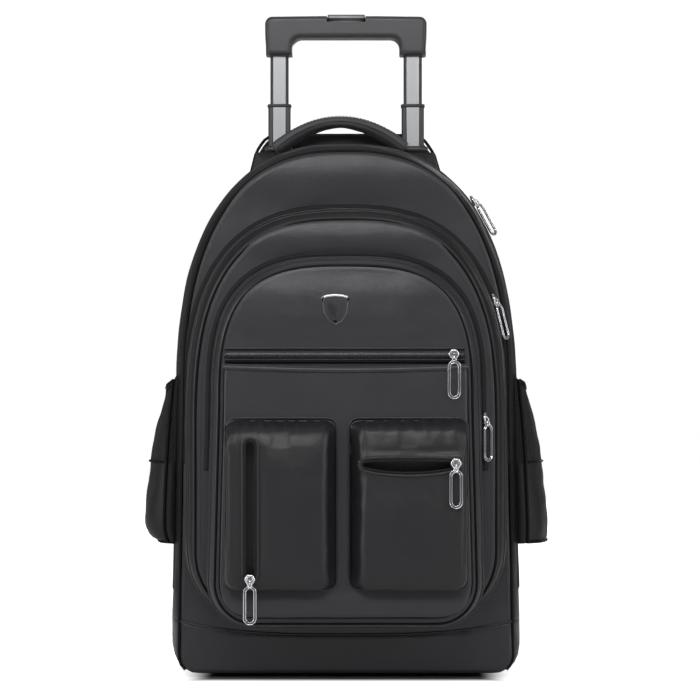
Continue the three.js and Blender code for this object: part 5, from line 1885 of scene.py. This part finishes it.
lumbar_z = 140
lumbar_rings = [
    rounded_flat(0, lumbar_z, 170 - 2 * inset, 100 - 2 * inset, max(18 - inset, 4), y)
    for inset, y in ((2, 108.4), (0.6, 109), (0.4, 112), (2, 114.4), (5, 116.2), (9, 117.0))
]
lumbar_close = [
    [p.lerp(Vector((p.x * 0.4, p.y, lumbar_z)), k / 9) for p in lumbar_rings[-1]] for k in range(1, 10)
]
lumbar = make("lumbar_cushion", capped([*lumbar_rings, *lumbar_close]), back_net)


def lumbar_relief(p, normal):
    rear = smooth(0.5, 0.9, normal.y)
    ribs = max(smooth(6, 1.5, abs(abs(p.z - lumbar_z) - 17)), 0)
    return -3.2 * rear * ribs * smooth(80, 74, abs(p.x))


puff(lumbar, voxel=3, pressure=2.5, cap=1.2)
displace(lumbar, lumbar_relief)
for v in lumbar.data.vertices:
    v.co.y = max(v.co.y, back_plane * mm)
lumbar_edge = rounded_flat(0, lumbar_z, 168.4, 98.4, 17, 109.6, 160)
lumbar_trim = cord_along("lumbar_binding", lumbar_edge, 1.5, trim_and_groove_shade_nylon, closed=True)
place(lumbar, "bag", "lumbar_pad", slot="net_fabric", padded=0.8)
place(lumbar_trim, "bag", slot="padded_fabric")


# %% Shoulder straps, ladder buckles and webbing
def strap_station(side, t):
    x = lerp(42, 106, max(t, 0) ** 0.9)
    y = 113.9 + 15.1 * max(sin(pi * min(max(t, 0), 1)), 0) ** 0.8
    return Vector((side * x, y, lerp(480, 225, t)))


def strap_frames(side, count=60):
    frames = []
    for i in range(count + 1):
        t = lerp(0.01, 0.995, i / count)
        at = strap_station(side, t)
        ahead = (strap_station(side, min(t + 0.01, 1)) - strap_station(side, max(t - 0.01, 0))).normalized()
        across = ahead.cross(Vector((0, 1, 0))).normalized()
        out = across.cross(ahead).normalized()
        if out.y < 0:
            out, across = -out, -across
        frames.append((at, across, out, lerp(62, 44, t) / 2 - 0.8, 4.9))
    return frames


for side, word in both_sides:
    frames = strap_frames(side)
    section = round_box(0, 0, 1, 1, 40, (0.55, 0.55))
    strap = swept(f"strap_pad_{word}", frames, section, strap_nylon)
    puff(strap, voxel=3.2, pressure=2.5, cap=1.2)
    for v in strap.data.vertices:
        v.co.y = max(v.co.y, back_plane * mm)
    trims = []
    for edge in (-1, 1):
        line = [f[0] + f[1] * (edge * (f[3] + 0.4)) for f in frames]
        trims.append(cord_along("strap_binding", line, 1.7, trim_and_groove_shade_nylon))
        sewn = [f[0] + f[1] * (edge * (f[3] - 5.5)) + f[2] * (f[4] + 0.55) for f in frames]
        trims.append(seam_stitches("strap_sewn", sewn, [f[2] for f in frames], lift=0.2))
    tape_line = [f[0] + f[2] * (f[4] + 0.7) for f in frames[2:44]]
    outs = [f[1] for f in frames[2:44]]
    tape_rows = []
    for across_by in (-10, 10):
        tape_rows.append([p + o * across_by for p, o in zip(tape_line, outs)])
    tape = make("strap_tape", skin(tape_rows, closed=False), webbing_nylon, merge=0)
    thicken(tape, 0.9, 0)
    trims.append(tape)
    for k in (8, 17, 26, 35):
        f = frames[k]
        bar_line = [f[0] + f[1] * a + f[2] * (f[4] + 1.4) for a in (-10.5, -5, 0, 5, 10.5)]
        trims.append(cord_along("tack", bar_line, 0.8, thread_nylon, sides=6))
    strap_trim = join(f"strap_trim_{word}", trims)
    place(strap, "bag", f"shoulder_strap_{word}", slot="padded_fabric", padded=0.85)
    place(strap_trim, "bag", slot="webbing")

    centre_x, centre_z = side * 109, 206.7
    rows = [
        rounded_flat(centre_x, centre_z, 35 - 2 * inset, 26 - 2 * inset, 4, y, 80)
        for inset, y in ((1.2, back_plane), (0, 108.8), (0, 113.4), (0.7, 114.4), (1.8, 114.8))
    ]
    buckle = make(f"ladder_buckle_{word}", capped(rows), black_plastic)
    slots = []
    for shift in (-6.6, 0.2):
        slot = rounded_flat(centre_x, centre_z + shift, 26, 5.4, 1.5, 0, 40)
        slots.append(prism("slot", [(p.x, p.z) for p in slot], "y", 100, 130))
    carve(buckle, slots)
    buckle.data.shade_smooth()
    ridges = []
    for shift in (7.4, 9.2, 11.0):
        line = [Vector((centre_x + a, 114.7, centre_z + shift)) for a in (-11, -5, 0, 5, 11)]
        ridges.append(cord_along("ridge", line, 0.5, black_plastic, sides=6))
    buckle = join(f"ladder_buckle_{word}", [buckle, *ridges])
    place(buckle, "bag", f"strap_buckle_{word}", slot="black_plastic")

    rows = []
    for i in range(41):
        t = i / 40
        y = 108.9 + 0.5 * sin(pi * t * 3) * t * (1 - t)
        at = Vector((side * lerp(112, 134, t), y, lerp(191.5, 88, t)))
        rows.append([at + Vector((a, 0.12 * cos(a), 0)) for a in (-12.5, -11.5, -6, 0, 6, 11.5, 12.5)])
    webbing = make(f"webbing_{word}_tail", skin(rows, closed=False), webbing_nylon, merge=0)
    thicken(webbing, 1.8, 0)
    place(webbing, "bag", f"strap_webbing_{word}", slot="webbing")

# %% [markdown]
# ## Wheels and base
# Each wheel turns about its axle: a rubber tyre with tread blocks from a Geometry Nodes ring, and
# a spoked hub. The housings, kick plate and feet are moulded plastic and rubber.

# %% Wheels
def lathed(name, profile, x, material, count=96, closed=True):
    """A profile of (radius, across) turned about the axle."""
    rings = []
    for radius, across_by in profile:
        rings.append([
            Vector((x + across_by, wheel_y + radius * cos(a), wheel_z + radius * sin(a)))
            for a in angles(count)
        ])
    if closed:
        rings.append(rings[0])
    return make(name, skin(rings), material, merge=0)


tyre_half = [
    (25.2, 9.0), (26.2, 10.2), (28.2, 10.9), (29.6, 10.8), (31.0, 9.6), (31.6, 7.5), (31.8, 4), (31.8, 0),
]
tread_radius = 31.9
hub_half = [(24.7, 8.6), (24.0, 9.2), (22.6, 9.0), (21.8, 7.8), (21.4, 3.2)]


def both_ways(half):
    return [*half, *[(r, -a) for r, a in reversed(half) if a > 0]]


for side, word in both_sides:
    x = side * wheel_x
    tyre_base = lathed("tyre", both_ways(tyre_half), x, tyre_rubber)
    circle = [
        Vector((x, wheel_y + tread_radius * cos(a), wheel_z + tread_radius * sin(a)))
        for a in angles(180)
    ]
    outs = [(p - Vector((x, wheel_y, wheel_z))).normalized() for p in circle]
    around = 2 * pi * tread_radius
    tread = grow(
        "tread", tread_tree, circle, outs, True, Pitch=around / 44 * mm, Length=5.2 * mm, Width=8.6 * mm,
        Height=2.0 * mm, Stagger=4.3 * mm, Skew=0.32, Material=tyre_rubber,
    )
    tread.data.shade_flat()
    tyre = join(f"rubber_tyre_{word}", [tyre_base, tread])
    place(tyre, f"wheel_{word}", f"tyre_{word}", slot="tyre_rubber")

    rim = lathed("rim", both_ways(hub_half), x, hub_plastic)
    boss_half = [(4.2, -10.4), (8.2, -10.4), (9.0, -9.4), (9.0, 9.4), (8.2, 10.4), (4.2, 10.4)]
    boss = lathed("boss", boss_half, x, hub_plastic)
    parts = [rim, boss]
    for k in range(5):
        angle = k / 5 * 2 * pi + 0.3
        spoke_rows = []
        for r, half_wide, half_thick in ((7.5, 4.0, 7.5), (12, 3.1, 6.0), (18, 2.9, 5.2), (21.9, 4.0, 5.6)):
            centre = Vector((x, wheel_y + r * cos(angle), wheel_z + r * sin(angle)))
            tangent = Vector((0, -sin(angle), cos(angle)))
            spoke_rows.append([
                centre + tangent * (a * half_wide) + Vector((b * half_thick, 0, 0))
                for a, b in round_box(0, 0, 1, 1, 24)
            ])
        parts.append(make("spoke", capped(spoke_rows), hub_plastic))
    hub = join(f"spoked_hub_{word}", parts)
    place(hub, f"wheel_{word}", f"hub_{word}", slot="black_plastic")

    axle_profile = [
        (0.3, -14.9), (2.4, -14.9), (3.6, -14.2), (3.9, -13.6),
        (3.9, 13.6), (3.6, 14.2), (2.4, 14.9), (0.3, 14.9),
    ]
    axle = lathed(f"axle_pin_{word}", axle_profile, x, chrome, 48)
    place(axle, "bag", f"axle_{word}", slot="chrome")

    near, far = x - 15.5, x + 15.5
    arch_block = prism(f"wheel_arch_{word}", wheel_arch(38.4, 8, 108.4), "x", near, far, black_plastic)
    modify(arch_block, "BEVEL", width=1.2 * mm, segments=3, limit_method="ANGLE")
    apply_modifiers(arch_block)
    room = prism("room", wheel_arch(35.5, -40, 200), "x", near + 3, far - 3)
    pin_hole = lathed("pin_hole", [(0.01, -40), (4.3, -40), (4.3, 40), (0.01, 40)], x, lining_nylon, 32)
    carve(arch_block, [room, pin_hole])
    arch_block.data.shade_smooth()
    place(arch_block, "bag", f"wheel_housing_{word}", slot="black_plastic")

    foot_rows = [
        level(round_box(side * 92, 12.2, 18, 10, 60, (0.4, 0.5), inset, 0.5), z)
        for inset, z in ((1.0, 0.0), (0.2, 0.5), (0.0, 1.4), (0.0, 3.2))
    ]
    foot = make(f"rubber_foot_{word}", capped(foot_rows), tyre_rubber)
    place(foot, "bag", f"foot_{word}", slot="tyre_rubber")

# %% Kick plate: a moulded plate with upright ribs, between the wheels
kick_outline = [(83.7, 8.4), (83.7, 59.6), (106.5, 59.6), (108.2, 57.5), (108.2, 12.5), (105.5, 8.4)]
kick = prism("rear_kick_plate", kick_outline, "x", -111, 111, black_plastic)
modify(kick, "BEVEL", width=1.0 * mm, segments=3, limit_method="ANGLE")
apply_modifiers(kick)
carve(kick, [
    prism("socket", round_box(side * tube_x, grip_y, 12.9, 9.1, 32, (0.3, 0.3)), "z", 21.8, 80)
    for side, word in both_sides
])
kick.data.shade_smooth()
kick_ribs = []
for k in range(13):
    rib_x = lerp(-96, 96, k / 12)
    if abs(abs(rib_x) - tube_x) < 6:
        continue
    line = [Vector((rib_x, 108.3, z)) for z in (16, 25, 35, 45, 54)]
    kick_ribs.append(cord_along("rib", line, 1.5, black_plastic, sides=10))
kick = join("rear_kick_plate", [kick, *kick_ribs])
place(kick, "bag", "kick_plate", slot="black_plastic")

# %% [markdown]
# ## Studio
# The photograph has a plain pale surround and soft light from all round, a little stronger from
# above. A floor that sweeps up into a wall gives the surround, a dim world fills the shadows, and
# five large soft lamps shape the satin cloth and the metal. Under the bag and just behind it the
# floor is painted dark as a contact shadow, and it has no glow there.

# %% Floor that sweeps up into a wall
floor_glow = 0.8
fill_low, fill_high = 0.16, 0.24
floor_rows = [(-5000, 0)]
for i in range(17):
    angle = i / 16 * pi / 2
    floor_rows.append((3600 + 1200 * sin(angle), 1200 - 1200 * cos(angle)))
floor_rows.append((4800, 6000))
rings = [[Vector((x, y, z)) for x in (-7000, 7000)] for y, z in floor_rows]
looks = {"Roughness": 0.85, "Emission Color": (1, 1, 1, 1)}
surround_paint, tree, shader, place_on = start_material("surround_paint", looks)
patches = group_node(tree, mottle, place_on, Scale=2.0, Spread=0.01)


def soft_step(value, low, high):
    feeds = {"From Min": low, "From Max": high, "Value": value}
    return node(tree, "ShaderNodeMapRange", feeds, interpolation_type="SMOOTHSTEP").outputs[0]


split = node(tree, "ShaderNodeSeparateXYZ", {0: place_on}).outputs
beside = soft_step(maths(tree, "ABSOLUTE", split[0]), 0.122, 0.152)
before = soft_step(split[1], -0.020, -0.042)
open_floor = maths(tree, "MAXIMUM", maths(tree, "MAXIMUM", before, beside), soft_step(split[1], 0.1, 0.3))
# Painted shadow: near black under the bag and just behind it, the pale floor elsewhere.
shadow = node(tree, "ShaderNodeMix", data_type="RGBA")
feed(tree, shadow, {
    0: open_floor, 6: (0.10, 0.10, 0.105, 1), 7: shaded(tree, (0.86, 0.86, 0.86), patches["Shade"]),
})
seen = node(tree, "ShaderNodeLightPath").outputs["Is Camera Ray"]
glow = maths(tree, "MULTIPLY", maths(tree, "MULTIPLY", seen, floor_glow), open_floor)
feed(tree, shader, {"Base Color": shadow.outputs[2], "Emission Strength": glow})
floor = make("studio_floor", skin(rings, closed=False), surround_paint, merge=0)
if floor.data.polygons[0].normal.z < 0:
    floor.data.flip_normals()

# %% World: white to the camera, and brighter from above than from below to the bag
world = bpy.data.worlds.new("studio_world")
bpy.context.scene.world = world
world.use_nodes = True
sky = world.node_tree
background = sky.nodes["Background"]
facing = node(sky, "ShaderNodeTexCoord").outputs["Generated"]
upward = node(sky, "ShaderNodeSeparateXYZ", {0: facing}).outputs[2]
rise = node(sky, "ShaderNodeMapRange", {
    "From Min": -0.6, "From Max": 0.9, "To Min": fill_low, "To Max": fill_high, "Value": upward,
})
seen = node(sky, "ShaderNodeLightPath").outputs["Is Camera Ray"]
choose = node(sky, "ShaderNodeMix", {0: seen, 2: rise.outputs[0], 3: 1.0}, data_type="FLOAT")
feed(sky, background, {"Color": (1, 1, 1, 1), "Strength": choose.outputs[0]})
bpy.context.scene.view_settings.view_transform = "Standard"


# %% Lamps
def lamp(name, place_at, aim, size, power):
    data = bpy.data.lights.new(name, "AREA")
    data.shape = "RECTANGLE"
    data.size, data.size_y = size
    data.energy = power
    made = bpy.data.objects.new(name, data)
    made.location = place_at
    made.rotation_euler = (Vector(aim) - Vector(place_at)).to_track_quat("-Z", "Y").to_euler()
    bpy.context.scene.collection.objects.link(made)


lamp("soft_box_left", (-1.7, -0.9, 0.8), (0, 0, 0.35), (0.7, 1.0), 11)
lamp("soft_box_right", (1.6, -1.2, 0.8), (0, 0, 0.35), (0.6, 1.0), 10)
lamp("soft_box_top", (0, 0.1, 1.9), (0, 0, 0.3), (1.2, 1.0), 2)
lamp("soft_box_back", (0.5, 2.1, 1.0), (0, 0.1, 0.3), (1.4, 1.0), 16)
lamp("soft_box_front", (-0.15, -1.5, 1.15), (0, 0, 0.52), (1.1, 0.36), 12)
